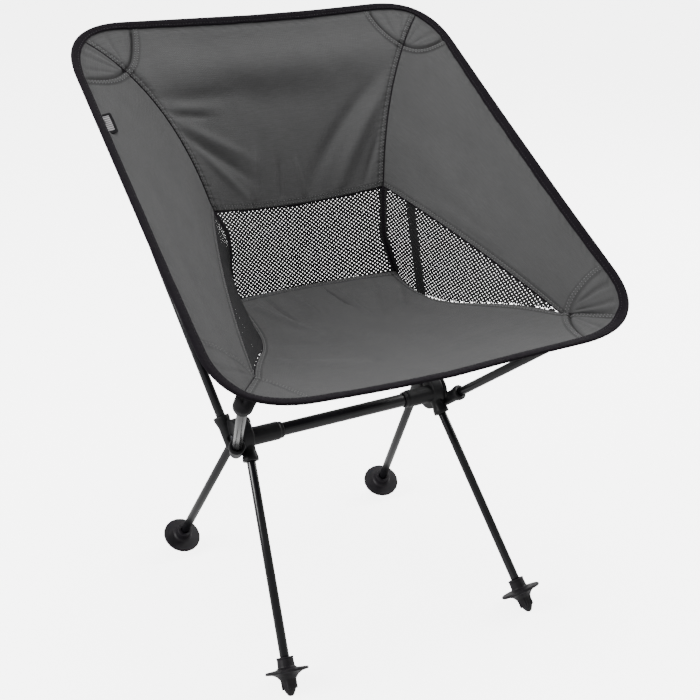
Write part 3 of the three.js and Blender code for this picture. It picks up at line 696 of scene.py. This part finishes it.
SEAT_FOLDS = (
    (10, 93, 30, 66, 10, 3.4),
    (20, 97, 27, 74, 7, -2.6),
    (36, 97, 40, 80, 9, 2.0),
    (55.5, 96, 57.5, 80, 3.2, -2.6),
    (62, 97, 60, 72, 9, 2.2),
    (86, 94, 66, 66, 10, -2.4),
    (93, 90, 76, 70, 9, 3.2),
    (6, 62, 42, 52, 15, -2.6),
    (5, 40, 34, 30, 12, 2.6),
    (92, 55, 60, 46, 17, 2.0),
    (90, 30, 58, 24, 14, 1.6),
)
SIDE_FOLDS = (
    (8, 34, 62, 24, 22, 2.6),
    (26, 66, 88, 62, 26, -2.4),
    (30, 10, 62, 16, 12, 1.6),
)
NET, SIDE_NET = (56, 40), (64, 34)  # columns and rows of the coarse nets
TOP_HUB = top_seam(0.72)  # where the pull lines of a top corner start
SEAT_GROOVE = {"right": 0.9, "left": 0.1}
SIDE_CORNER = {"right": (16, 0.75, 0.2), "left": (4, 0.25, 0.05)}  # top trim, front fan and front groove


def back_panel():
    net = relaxed(coons(back_mesh_top, back_inner, mirror(top_seam), top_seam, *NET), (0, 2 * MM, 0))
    panel = Panel("back_cloth", net, np.array([0, -1.0, 0.3]),
                  {"left": "felled", "right": "felled", "bottom": "hem", "top": None})
    panel.relief(BACK_FOLDS)
    for flip in FLIP.values():
        panel.sew_corner(TOP_CORNER * flip, TOP_HUB * flip, 0.45)
    return panel


def seat_panel():
    left, right = backward(mirror(seat_side["left"])), backward(seat_side["right"])
    net = relaxed(coons(seat_inner, back_mesh_bottom, left, right, *NET), (0, 0, -9 * MM))
    panel = Panel("seat_cloth", net, np.array([0, 0, 1.0]),
                  {"left": "hem", "right": "hem", "bottom": None, "top": "hem"})
    panel.relief(SEAT_FOLDS)
    for side, flip in FLIP.items():
        groove = SEAT_GROOVE[side]
        panel.sew_corner(FRONT_CORNER * flip, MESH_POINT * flip, 0.6 * groove, groove)
    return panel


def side_panel(side):
    flip = FLIP[side]
    net = relaxed(coons(window_top[side], side_inner, top_seam, corner_seam, *SIDE_NET), (-4 * MM, 0, 0))
    panel = Panel(f"side_cloth_{side}", net * flip, np.array([-1.0, 0, 0.3]) * flip,
                  {"left": "seam", "right": "seam", "bottom": "hem", "top": None})
    panel.relief(SIDE_FOLDS)
    trim, fan, groove = SIDE_CORNER[side]
    panel.sew_corner(TOP_CORNER * flip, TOP_HUB * flip, 0.3, 1.0, trim)
    panel.sew_corner(FRONT_CORNER * flip, MESH_POINT * flip, fan, groove)
    return panel


back, seat = back_panel(), seat_panel()
wings = {side: side_panel(side) for side in SIDES}
PANELS = {"back_panel": back, "seat_panel": seat, **{f"side_panel_{side}": wings[side] for side in SIDES}}
for node, panel in PANELS.items():
    panel.sew_edges()
    panel.build(node)


# -------- mesh windows
HOLE_PITCH = 5.9 * MM  # from one hole to the next in a row
HOLE_ROW = 2.45 * MM  # from one row to the next, staggered by half a pitch
HOLE_WIDE, HOLE_HIGH = 1.22 * MM, 1.0 * MM
HOLE_SIDES = 8
NET_THICK = 0.24 * MM
NEWTON_ROUNDS, NEWTON_STEP = 24, 0.7
FLATTENED = 1e-9  # least area a cell of the net is taken to have
BEYOND_NET = (-0.2, 1.2)  # how far the search may leave the net, which is 0 to 1
WINDOW_NET, SIDE_WINDOW_NET = (60, 24), (80, 24)  # columns and rows


def inverse_map(net, flat, places):
    """Net coordinates and points for places on a plane, where flat is the net's own place on it."""
    rows, columns = net.shape[:2]
    slope_u = np.gradient(flat, axis=1) * (columns - 1)
    slope_v = np.gradient(flat, axis=0) * (rows - 1)

    def cross(a, b):
        return a[..., 0] * b[..., 1] - a[..., 1] * b[..., 0]

    u, v = np.full(places.shape[:-1], 0.5), np.full(places.shape[:-1], 0.5)
    for _ in range(NEWTON_ROUNDS):
        miss = places - bilinear(flat, u, v)
        du, dv = bilinear(slope_u, u, v), bilinear(slope_v, u, v)
        area = cross(du, dv)
        area = np.where(np.abs(area) < FLATTENED, FLATTENED, area)
        u = np.clip(u + NEWTON_STEP * cross(miss, dv) / area, *BEYOND_NET)
        v = np.clip(v + NEWTON_STEP * cross(du, miss) / area, *BEYOND_NET)
    return u, v, bilinear(net, u, v)


def mesh_window(name, net, node):
    """Knitted mesh: one rhombic cell of yarn round each oval hole."""
    net = settled(net)
    east = unit(net[0, -1] - net[0, 0])
    plane = np.stack([east, square_to(net[-1, 0] - net[0, 0], east)], -1)
    flat = (net - net[net.shape[0] // 2, net.shape[1] // 2]) @ plane
    low, high = flat.min((0, 1)), flat.max((0, 1))
    columns, rows = ((high - low) / (HOLE_PITCH, HOLE_ROW)).astype(int) + 2
    i, j = np.meshgrid(np.arange(-1, columns), np.arange(-1, rows))
    cells = low + np.stack([(i + 0.5 * (j % 2)) * HOLE_PITCH, j * HOLE_ROW], -1).reshape(-1, 1, 2)
    turn = np.arange(HOLE_SIDES) * 2 * np.pi / HOLE_SIDES
    round_way = np.stack([np.cos(turn), np.sin(turn)], -1)
    rim = round_way * (HOLE_WIDE / 2, HOLE_HIGH / 2)
    rhombus = round_way / np.sum(np.abs(round_way) / (HOLE_PITCH / 2, HOLE_ROW), -1, keepdims=True)
    u, v, points = inverse_map(net, flat, np.concatenate([cells + rhombus, cells + rim], 1))
    points = points[((u > 0.0) & (u < 1.0) & (v > 0.0) & (v < 1.0)).all(1)]
    first = np.arange(len(points))[:, None, None] * 2 * HOLE_SIDES
    faces = first + np.array(grid_faces(2, HOLE_SIDES, close_columns=True))
    obj = new_object(name, points, faces.reshape(-1, 4))
    modify(obj, weld={"merge_threshold": 0.05 * MM})
    thicken(obj, NET_THICK)
    return finish_piece(obj, MESH_CLOTH, stands_for=[node]), net


def tucked(net, under, over, start, end):
    """The net run on behind the cloth and tape at its four edges: bottom, top, first and last column."""
    net = np.concatenate([net[:1] + np.array(under) * MM, net, net[-1:] + np.array(over) * MM])
    return np.concatenate([net[:, :1] + np.array(start) * MM, net, net[:, -1:] + np.array(end) * MM], 1)


def side_window_net(side):
    """Straight between its two hems, and drawn in only close to the kinked tape at its back."""
    bottom, top = part(window_bottom[side], 0, 0.98), part(window_top[side], 0, 0.98)
    straight = bezier(bottom(0.0), top(0.0))
    columns, rows = SIDE_WINDOW_NET
    net = coons(bottom, top, straight, bezier(bottom(1.0), top(1.0)), columns, rows)
    v = np.linspace(0, 1, rows)
    kink = chain(window_side[side])(v) - straight(v)
    net = net + kink[:, None] * ((1 - np.linspace(0, 1, columns)) ** 10)[None, :, None]
    return tucked(net, (-4.5, 0.6, -1.8), (4.6, 0.8, 2.6), (-2.7, 2.2, 0), (0, 0, 0)) * FLIP[side]


back_sides = mirror(window_side["left"]), window_side["right"]
back_net = coons(back_mesh_bottom, back_mesh_top, *back_sides, *WINDOW_NET)
back_net = tucked(back_net, (0, -4.5, -2.2), (0, 4.2, 4.0), (-2.7, -2.2, 0), (2.7, -2.2, 0))
windows = [mesh_window("back_mesh_cloth", back_net, "back_mesh")]
for side in SIDES:
    windows.append(mesh_window(f"side_mesh_cloth_{side}", side_window_net(side), f"side_mesh_{side}"))


# -------- cords sewn along seams
def round_cord(name, points, radius, around=8):
    """A closed round cord along a row of points, with thread coordinates along and round it."""
    ways = unit(np.gradient(points, axis=0))
    side = np.cross(ways[0], [0.31, 0.52, 0.8])  # a direction that no cord starts along
    turn = np.arange(around) * 2 * np.pi / around
    rings = []
    for centre, way in zip(points, ways):
        side = square_to(side, way)
        up = np.cross(way, side)
        rings.append(centre + radius * (np.cos(turn)[:, None] * side + np.sin(turn)[:, None] * up))
    uvs = np.stack(np.meshgrid(turn * radius, run_of(points)), -1)
    return new_object(name, rings, tube_faces(len(points), around), uvs)


def seam_cord(name, curve, radius, drop=(0, 0, 0), side="right"):
    """A cord under a seam. The radius and how far it is moved off the seam are in mm."""
    points = settled(chain(curve)(np.linspace(0, 1, 160)) * FLIP[side]) + np.array(drop) * MM
    finish_piece(round_cord(name, points, radius * MM), TAPE)


seam_cord("back_window_top_cord", back_mesh_top, 1.2, (0, 0.6, -0.3))
seam_cord("back_window_bottom_cord", back_mesh_bottom, 0.8)
for side in SIDES:
    seam_cord(f"side_window_top_cord_{side}", window_top[side], 1.0, side=side)
    seam_cord(f"side_window_bottom_cord_{side}", window_bottom[side], 0.8, side=side)
    seam_cord(f"back_seam_cord_{side}", top_seam, 0.6, side=side)
    seam_cord(f"front_seam_cord_{side}", corner_seam, 0.6, side=side)


# -------- edge binding
def sling_tree():
    verts, faces = [], []
    for panel in PANELS.values():
        faces.extend(shifted(grid_faces(*panel.base.shape[:2]), len(verts)))
        verts.extend(Vector(v) for v in panel.surface().reshape(-1, 3))
    return BVHTree.FromPolygons(verts, faces)


SLING = sling_tree()
BINDING_WIDE, BINDING_HALF = 13.6 * MM, 2.4 * MM  # width and half thickness of the folded tape
MOST_RISE = 3 * MM  # that the tape's inner edge is bent by to follow the cloth
BINDING_STEP = 2.0 * MM / DETAIL
LOOP_SAMPLES = 200  # on each third of half the edge
# Half of the folded tape in (inward, up) shares of its size, closed by its mirror image
BINDING_UPPER = [(0.0, 0.0), (0.03, 0.5), (0.12, 0.85), (0.3, 1.0), (0.55, 0.98), (0.78, 0.86), (0.93, 0.8),
                 (1.0, 0.55)]
BINDING_SECTION = np.array(BINDING_UPPER + [(a, -b) for a, b in BINDING_UPPER[:0:-1]])


def smoothed(values, rounds):
    for _ in range(rounds):
        values = np.concatenate([values[:1], (values[:-2] + 2 * values[1:-1] + values[2:]) / 4, values[-1:]])
    return values


def full_loop(spacing):
    """Evenly spaced points round the sling's edge, with the inward and upward directions at each."""
    half = []
    for curve, target, first, last in ((back_edge, back_target, 0.5, 1.0), (side_edge, side_target, 0.0, 1.0),
                                       (seat_edge, seat_target, 1.0, 0.5)):
        t = np.linspace(first, last, LOOP_SAMPLES)
        piece = np.concatenate([curve(t), inward_of(curve, t, target(t))], 1)
        half.append(piece[min(len(half), 1):])
    half = np.concatenate(half)
    run = run_of(half[:, :3])
    half = read_at(np.linspace(0, run[-1], int(run[-1] / spacing) + 1), run, half)
    points = half[:, :3]
    way = unit(np.gradient(points, axis=0))
    inward = square_to(smoothed(half[:, 3:], rounds=12), way)
    up = np.cross(inward, way)
    points, inward, up = (np.concatenate([v, v[-2:0:-1] * FLIP["left"]]) for v in (points, inward, up))
    return settled(points), inward, up


def cloth_rise(points, inward, up):
    """How far the cloth under the tape's inner edge stands above the tape's middle plane."""
    probes = points + inward * (0.9 * BINDING_WIDE)
    hits = np.array([SLING.find_nearest(Vector(p))[0] for p in probes])
    return smoothed(np.clip(np.sum((hits - probes) * up, -1), -MOST_RISE, MOST_RISE), rounds=3)


def tape_width(points, run, rise):
    """Narrower along the top, and where the cloth climbs over the tape's inner edge."""
    narrow = smooth_step(points[:, 2], 685 * MM, 695 * MM)
    climb = np.clip(rise, 0, MOST_RISE) / MM
    return BINDING_WIDE * (1 - 0.22 * narrow) * (1 - 0.11 * climb) * (1 + 0.03 * ripple(run, 60 * MM))


def edge_binding():
    points, inward, up = full_loop(BINDING_STEP)
    rise = cloth_rise(points, inward, up)
    run = np.arange(len(points)) * BINDING_STEP
    wide = tape_width(points, run, rise)
    half = BINDING_HALF * (1 + 0.06 * ripple(run, 9 * MM, 2.0))
    rings = []
    for a, b in BINDING_SECTION:
        dent = 1 - 0.18 * bell(a - 0.78, 0.12) * (1 + ripple(run, 6 * MM))
        rings.append(points + inward * (a * wide)[:, None] + up * (b * half * dent + a * a * rise)[:, None])
    around = run_of(BINDING_SECTION * (BINDING_WIDE, BINDING_HALF))
    uvs = np.stack(np.meshgrid(run, around, indexing="ij"), -1)
    obj = new_object("edge_tape", np.stack(rings, 1), grid_faces(len(points), len(rings), True, True), uvs)
    return finish_piece(obj, TAPE, stands_for=["edge_binding"])


edge_tape = edge_binding()

# -------- stitches
STITCH, STITCH_PITCH = 2.3 * MM, 3.9 * MM
PANEL_THREAD, TAPE_THREAD = 0.36 * MM, 0.25 * MM  # radius
TAPE_ROW = 0.74  # where the tape is stitched, as a share of its width, and of its half thickness there
TAPE_ROW_STEP = 1.5 * MM
# One stitch: its stations in stitch lengths, then their height and thickness in thread radii
STITCH_STATIONS = np.array([-0.5, -0.3, 0, 0.3, 0.5])
STITCH_RISE = np.array([-0.5, 0.45, 0.7, 0.45, -0.5])[:, None]
STITCH_THICK = np.array([0.35, 1, 1.1, 1, 0.35])[:, None]
STITCH_AROUND = 5


def stitch_rows(name, rows, material, radius):
    """rows is a list of (points, normals): one low loop of thread lies along each pitch of a row."""
    turn = np.arange(STITCH_AROUND) * 2 * np.pi / STITCH_AROUND
    upward = (STITCH_RISE + np.sin(turn) * STITCH_THICK)[..., None] * radius
    sideways = (np.cos(turn) * STITCH_THICK)[..., None] * radius
    stitch_faces = tube_faces(len(STITCH_STATIONS), STITCH_AROUND)
    verts, faces = [], []
    for points, normals in rows:
        run = run_of(points)
        count = int(run[-1] / STITCH_PITCH)
        for middle in (np.arange(count) + 0.5) * run[-1] / max(count, 1):
            stations = middle + STITCH_STATIONS * STITCH
            centre = read_at(stations, run, points)
            up = unit(read_at(stations, run, normals))
            side = np.cross(unit(np.gradient(centre, axis=0)), up)
            faces.extend(shifted(stitch_faces, len(verts)))
            verts.extend((centre[:, None] + up[:, None] * upward + side[:, None] * sideways).reshape(-1, 3))
    finish_piece(new_object(name, verts, faces), material)


def edge_row(panel, edge, gap):
    """A line along one edge of a panel, `gap` inside it."""
    t = np.linspace(0.02, 0.98, 400)
    rows, columns = panel.base.shape[:2]
    if edge in ("left", "right"):
        share = gap / panel.across[(t * (rows - 1)).astype(int), -1]
        return panel.at(share if edge == "left" else 1 - share, t)
    share = gap / panel.along[-1, (t * (columns - 1)).astype(int)]
    return panel.at(t, share if edge == "bottom" else 1 - share)


def long_axis(points):
    """Middle and unit direction of the longest extent of a set of points."""
    middle = points.mean(0)
    return middle, np.linalg.svd(points - middle, full_matrices=False)[2][0]


def arc_row(panel, arc, offset):
    """The line on a panel at one distance outside the seam of a corner piece."""
    grid, reach = panel.surface(), arc - offset
    rows, columns = reach.shape
    points, normals = [], []
    for down, over in ((0, 1), (1, 0)):
        j, i = np.nonzero(reach[:rows - down, :columns - over] * reach[down:, over:] < 0)
        share = (reach[j, i] / (reach[j, i] - reach[j + down, i + over]))[:, None]
        points.append(grid[j, i] + (grid[j + down, i + over] - grid[j, i]) * share)
        normals.append(panel.normal[j, i])
    points, normals = np.concatenate(points), np.concatenate(normals)
    middle, way = long_axis(points)
    order = np.argsort((points - middle) @ way)
    return smoothed(points[order], rounds=4), normals[order]


stitch_lines = []
for panel in PANELS.values():
    hems = [edge for edge, kind in panel.sewn.items() if kind in ("hem", "felled")]
    stitch_lines.extend(edge_row(panel, edge, needle) for edge in hems for needle in NEEDLE_LINES)
    stitch_lines.extend(arc_row(panel, arc, needle) for arc in panel.arcs for needle in CORNER_NEEDLES)
stitch_rows("panel_stitches", stitch_lines, GREY_THREAD, PANEL_THREAD)


def tape_stitches():
    """A row on each face of the edge tape."""
    points, inward, up = full_loop(TAPE_ROW_STEP)
    rise = cloth_rise(points, inward, up)
    width = tape_width(points, np.arange(len(points)) * TAPE_ROW_STEP, rise)
    line = points + inward * (TAPE_ROW * width)[:, None] + up * (TAPE_ROW**2 * rise)[:, None]
    off = up * (TAPE_ROW * BINDING_HALF)
    rows = [(line + off, up), (line - off, -up)]
    stitch_rows("tape_stitches", rows, DARK_THREAD, TAPE_THREAD)


tape_stitches()

# -------- pockets on the pole ends
POCKET_RADIUS = 10.2 * MM
POCKET_LENGTH = {"front": 25 * MM, "back": 33 * MM}
POCKET_CLEAR = 1.1 * MM  # from the sling's middle surface to the pocket cloth
POCKET_MOUTH = 0.62  # radius at the mouth, as a share of the full radius
POCKET_THICK = 0.8 * MM
POCKET_RINGS, POCKET_AROUND = 34, 41
POCKET_FRONT = 4.0 * MM  # how far the pocket reaches past the cap's tip
POCKET_FLAP = 7.0 * MM  # how far its sewn edges lie out on the sling


def node_points(node):
    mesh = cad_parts[node].data
    flat = np.empty(len(mesh.vertices) * 3)
    mesh.vertices.foreach_get("co", flat)
    return flat.reshape(-1, 3)


def kept_behind(p, out):
    """p moved until it is clear of the sling on the side that out points to."""
    for _ in range(3):
        hit, normal = SLING.find_nearest(Vector(p))[:2]
        normal = np.array(normal) * (1.0 if normal @ Vector(out) > 0 else -1.0)
        p = p + normal * max(0.0, POCKET_CLEAR - (p - np.array(hit)) @ normal)
    return p


def pocket(end, side, out):
    """Cloth drawn over a pole cap, closed in on the pole at its mouth and sewn to the sling's underside.

    out points away from the sling, square to the pole as nearly as may be.
    """
    sleeve, length = f"{end}_pocket_{side}", POCKET_LENGTH[end]
    cap = node_points(f"{end}_pole_cap_{side}")
    middle, way = long_axis(node_points(sleeve))
    if way @ (cap.mean(0) - middle) < 0:
        way = -way
    tip = middle + way * (max((cap - middle) @ way) + POCKET_FRONT)
    out = square_to(out, way)
    across = np.cross(way, out)
    shares, angles = np.linspace(0, 1, POCKET_RINGS), np.linspace(-math.pi, math.pi, POCKET_AROUND)
    verts = []
    for share in shares:
        dome = math.sqrt(max(0.0, 1 - (1 - min(1.0, share * 2.8)) ** 2))
        closing = math.sqrt(1 - max(0.0, (share - 0.74) / 0.26) ** 2)
        radius = POCKET_RADIUS * (0.03 + 0.97 * dome) * (POCKET_MOUTH + (1 - POCKET_MOUTH) * closing)
        flare = smooth_step(share, 0.0, 0.2) * (1 - smooth_step(share, 0.30, 0.80))
        for angle in angles:
            p = tip - way * (share * length) + (out * math.cos(angle) + across * math.sin(angle)) * radius
            lean = smooth_step(abs(angle), 0.34 * math.pi, 0.62 * math.pi) * flare
            hit = np.array(SLING.find_nearest(Vector(p))[0])
            target = hit + out * POCKET_CLEAR + across * math.copysign(POCKET_FLAP, angle)
            verts.append(kept_behind(p + (target - p) * lean, out))
    uvs = np.stack(np.meshgrid((angles + math.pi) * POCKET_RADIUS, shares * length), -1)
    obj = new_object(f"{end}_pocket_cloth_{side}", verts, grid_faces(len(shares), len(angles)), uvs)
    thicken(obj, POCKET_THICK)
    finish_piece(obj, BLACK_CLOTH, stands_for=[sleeve])


for side, flip in FLIP.items():
    pocket("front", side, np.array([0.25, -0.35, -1.0]) * flip)
    pocket("back", side, np.array([0.65, 0.75, -0.2]) * flip)

# -------- seam tape and label
SEAM_TAPE_HALF, SEAM_TAPE_RISE = 4.6 * MM, 0.9 * MM
SEAM_TAPE_INNER = np.array([-0.62, -0.78, 0.0])  # towards the sitter, from the right tape
SEAM_TAPE_SECTION = [(-1, 0.3), (-0.8, 0.85), (-0.3, 1.0), (0.3, 1.0), (0.8, 0.85), (1, 0.3), (0.8, -0.5),
                     (-0.8, -0.5)]


def seam_tape(side):
    """Black tape folded round the upright seam between the two mesh windows."""
    t = np.linspace(0, 1, 60)
    line = settled(window_side[side](t) * FLIP[side])
    way = unit(np.gradient(line, axis=0))
    inner = square_to(unit(SEAM_TAPE_INNER) * FLIP[side], way)
    run = t * np.linalg.norm(MESH_TOP - MESH_BOTTOM[side])
    half = np.cross(way, inner) * (SEAM_TAPE_HALF * (1 + 0.07 * ripple(run, 17 * MM)))[:, None]
    verts = np.stack([line + half * a + inner * (b * SEAM_TAPE_RISE) for a, b in SEAM_TAPE_SECTION], 1)
    around = verts.shape[1]
    uvs = np.stack(np.meshgrid(run, np.linspace(0, 2 * SEAM_TAPE_HALF, around), indexing="ij"), -1)
    obj = new_object(f"seam_tape_cloth_{side}", verts, tube_faces(len(t), around), uvs)
    finish_piece(obj, TAPE, stands_for=[f"seam_tape_{side}"])


for side in SIDES:
    seam_tape(side)

LABEL_SPAN = (0.240, 0.298)  # where the tab is sewn, along the left side edge from the top
LABEL_OUT = np.array([0.93, 0.36, 0.0])  # it stands level off the edge tape
LABEL_REACH = 15.0 * MM


def side_label():
    """A blank woven tab sewn under the left edge tape, with a lighter ribbed field."""
    rows, columns = 28, 20
    t = np.linspace(*LABEL_SPAN, rows)
    inward = inward_of(side_edge, t, side_target(t)) * FLIP["left"]
    edge = settled(side_edge(t) * FLIP["left"]) + inward * (0.86 * BINDING_WIDE)
    length = np.linalg.norm(edge[-1] - edge[0])
    lifted = unit(np.cross(edge[-1] - edge[0], LABEL_OUT))
    lifted = lifted * np.sign(lifted[2])

    def sheet(name, material, start, end, near, far, rise, round_off, stands_for=()):
        """A layer of the label, in shares of its length (start, end) and reach (near, far)."""
        a, b = np.linspace(start, end, rows)[:, None], np.linspace(near, far, columns)[None, :]
        middle = (start + end) / 2
        corner = smooth_step(b, far - round_off / LABEL_REACH, far) ** 2
        a = middle + (a - middle) * (1 - corner * 2 * round_off / length)
        curl = rise + 1.6 * MM * b**2 + 0.25 * MM * np.sin(9 * a + 4 * b)
        line = read_at(a, np.linspace(0, 1, rows), edge)
        verts = line + LABEL_OUT * (b * LABEL_REACH)[..., None] + lifted * curl[..., None]
        uvs = np.stack([a * length, np.broadcast_to(b * LABEL_REACH, a.shape)], -1)
        obj = new_object(name, verts, grid_faces(rows, columns), uvs)
        thicken(obj, CLOTH_THICK)
        return finish_piece(obj, material, stands_for=stands_for)

    tab = sheet("label_tab", LABEL_CLOTH, 0.0, 1.0, 0.0, 1.0, 0.0, 2.0 * MM, ["side_label"])
    sheet("label_field", LABEL_FIELD, 0.12, 0.86, 0.14, 0.74, 0.45 * MM, 0.4 * MM)
    return tab, length


label_tab, LABEL_LENGTH = side_label()

# -------- frame: moulded and turned parts
HUB_VOXEL, FOOT_VOXEL = 0.55 * MM, 0.5 * MM
HUB_ROUNDS, FOOT_ROUNDS = 5, 3  # of smoothing
BEVEL, BEVEL_ANGLE, CRISP_ANGLE = 0.25 * MM, math.radians(50), math.radians(38)
CORD_RADIUS = 1.3 * MM


def copy_of(node, name):
    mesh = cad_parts[node].data.copy()
    mesh.name = name
    obj = link_object(name, mesh)
    modify(obj, weld={"merge_threshold": 0.01 * MM})
    return obj


def shade_smooth(obj):
    obj.data.polygons.foreach_set("use_smooth", np.full(len(obj.data.polygons), True))


def moulding(node, body, material, voxel, rounds):
    """The CAD part with the small soft edges of a moulding."""
    obj = copy_of(node, f"{node}_moulding")
    modify(obj, remesh={"mode": "VOXEL", "voxel_size": voxel / DETAIL},
           smooth={"factor": 0.5, "iterations": rounds})
    shade_smooth(obj)
    finish_piece(obj, material, body, [node])


def polished(node, body, material):
    """The CAD part with smooth round faces, crisp ends and a small bevel round them."""
    obj = copy_of(node, f"{node}_finish")
    modify(obj, bevel={"width": BEVEL, "segments": 2, "limit_method": "ANGLE", "angle_limit": BEVEL_ANGLE})
    shade_smooth(obj)
    obj.data.set_sharp_from_angle(angle=CRISP_ANGLE)
    finish_piece(obj, material, body, [node])


def stretching_cord(end, side):
    """The elastic cord of one leg, built straight along the CAD cord. On the chair its first stretch
    lengthens as the leg is pulled out; this cord is fixed and does not.
    """
    node = f"{end}_leg_cord_{side}"
    middle, way = long_axis(node_points(node))
    if way[2] > 0:
        way = -way
    extent = (node_points(node) - middle) @ way
    start = middle + way * extent.min()
    points = start + way * np.linspace(0, extent.max() - extent.min(), 90)[:, None]
    obj = round_cord(f"{node}_elastic", points, CORD_RADIUS, 12)
    obj.data.materials.append(ELASTIC)
    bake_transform(obj)
    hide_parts(node)


for side in SIDES:
    for node in ("leg_hub", "pole_hub"):
        moulding(f"{node}_{side}", FRAME_BODY, HUB_BLACK, HUB_VOXEL, HUB_ROUNDS)
    for node in ("front_pole_cap", "back_pole_cap"):
        polished(f"{node}_{side}", FRAME_BODY, HUB_BLACK)
    for node in ("front_pole", "back_pole_lower", "back_pole_upper"):
        polished(f"{node}_{side}", FRAME_BODY, TUBE_BLACK)
    polished(f"hub_screw_{side}", FRAME_BODY, SCREW_BLACK)
    for end in ("front", "rear"):
        body = f"{end}_{side}_leg"
        moulding(f"{end}_leg_foot_{side}", body, FOOT_BLACK, FOOT_VOXEL, FOOT_ROUNDS)
        polished(f"{end}_leg_tube_{side}", body, TUBE_BLACK)
polished("crossbar", FRAME_BODY, TUBE_BLACK)
for end in ("front", "rear"):
    for side in SIDES:
        stretching_cord(end, side)

# The hidden cords and ferrules are shown as the CAD has them
for node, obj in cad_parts.items():
    dress(obj, CORD_BRAID if "cord" in node else ALLOY if "ferrule" in node else HUB_BLACK)


# -------- cloth sizes, measured but not kept
def declare_stretched(obj, net):
    """Measures a tensioned net's flat width, height and area; the results are not kept. Tensioned cloth is
    cut to the shape it spans, so its flat size is the length along its own surface.
    """
    wide, tall = float(lengths(net, 1)[:, -1].max()), float(lengths(net, 0)[-1].max())
    rising, falling = net[1:, 1:] - net[:-1, :-1], net[:-1, 1:] - net[1:, :-1]
    area = float(np.linalg.norm(np.cross(rising, falling), axis=-1).sum() / 2)


for panel in PANELS.values():
    declare_stretched(panel.obj, panel.base)
for window, net in windows:
    declare_stretched(window, net)

# -------- stage and light
STAGE = 26.0  # half the width of the floor, and radius of the wall
FLOOR_GLOW, WALL_GLOW, CARD_GLOW = 5.0, 5.3, 1.05
WALL_SIDES = 48


def pale_surface(name, verts, faces, base, glow):
    """Part of the white studio. It doesn't light the object: the soft world light does."""
    obj = new_object(name, verts, faces, smooth=False)
    nodes = Nodes(f"pale_{name}", Base_Color=(base, base, base, 1), Roughness=0.9, Specular_IOR_Level=0.1,
                  Emission_Color=(1, 1, 1, 1), Emission_Strength=glow)
    obj.data.materials.append(nodes.material)
    obj.visible_diffuse = False
    obj.visible_glossy = False
    return obj


def make_stage():
    corners = np.array([(-STAGE, -STAGE, 0), (STAGE, -STAGE, 0), (STAGE, STAGE, 0), (-STAGE, STAGE, 0)])
    pale_surface("floor", corners, [(0, 1, 2, 3)], 0.9, FLOOR_GLOW)
    turn = np.linspace(0, 2 * np.pi, WALL_SIDES, endpoint=False)
    rings = [np.stack([STAGE * np.cos(turn), STAGE * np.sin(turn), np.full(WALL_SIDES, height)], -1)
             for height in (-STAGE, STAGE)]
    wall = pale_surface("wall", rings, grid_faces(2, WALL_SIDES, close_columns=True), 0.0, WALL_GLOW)
    wall.visible_shadow = False
    # What black tubes and mouldings mirror of the pale floor
    card = pale_surface("floor_card", corners - (0, 0, 1 * MM), [(0, 1, 2, 3)], 0.0, CARD_GLOW)
    card.visible_glossy = True
    card.visible_camera = False
    card.visible_shadow = False


LIGHT_AIM = Vector((0, 0, 0.4))
WORLD_STRENGTH = 0.5


def area_light(name, place, size, power):
    data = bpy.data.lights.new(name, "AREA")
    data.shape = "RECTANGLE"
    data.size, data.size_y = size
    data.energy = power
    light = link_object(name, data)
    light.location = place
    light.rotation_euler = (LIGHT_AIM - Vector(place)).to_track_quat("-Z", "Y").to_euler()


def light_world():
    world = bpy.data.worlds.new("studio")
    world.use_nodes = True
    background = world.node_tree.nodes["Background"]
    background.inputs["Color"].default_value = (1, 1, 1, 1)
    background.inputs["Strength"].default_value = WORLD_STRENGTH
    bpy.context.scene.world = world


make_stage()
area_light("top", (0.2, 0.1, 3.0), (1.5, 1.2), 53)
area_light("right", (2.4, 0.3, 1.6), (1.2, 1.4), 56)
area_light("left", (-2.4, 0.3, 1.7), (1.2, 1.4), 76)
light_world()
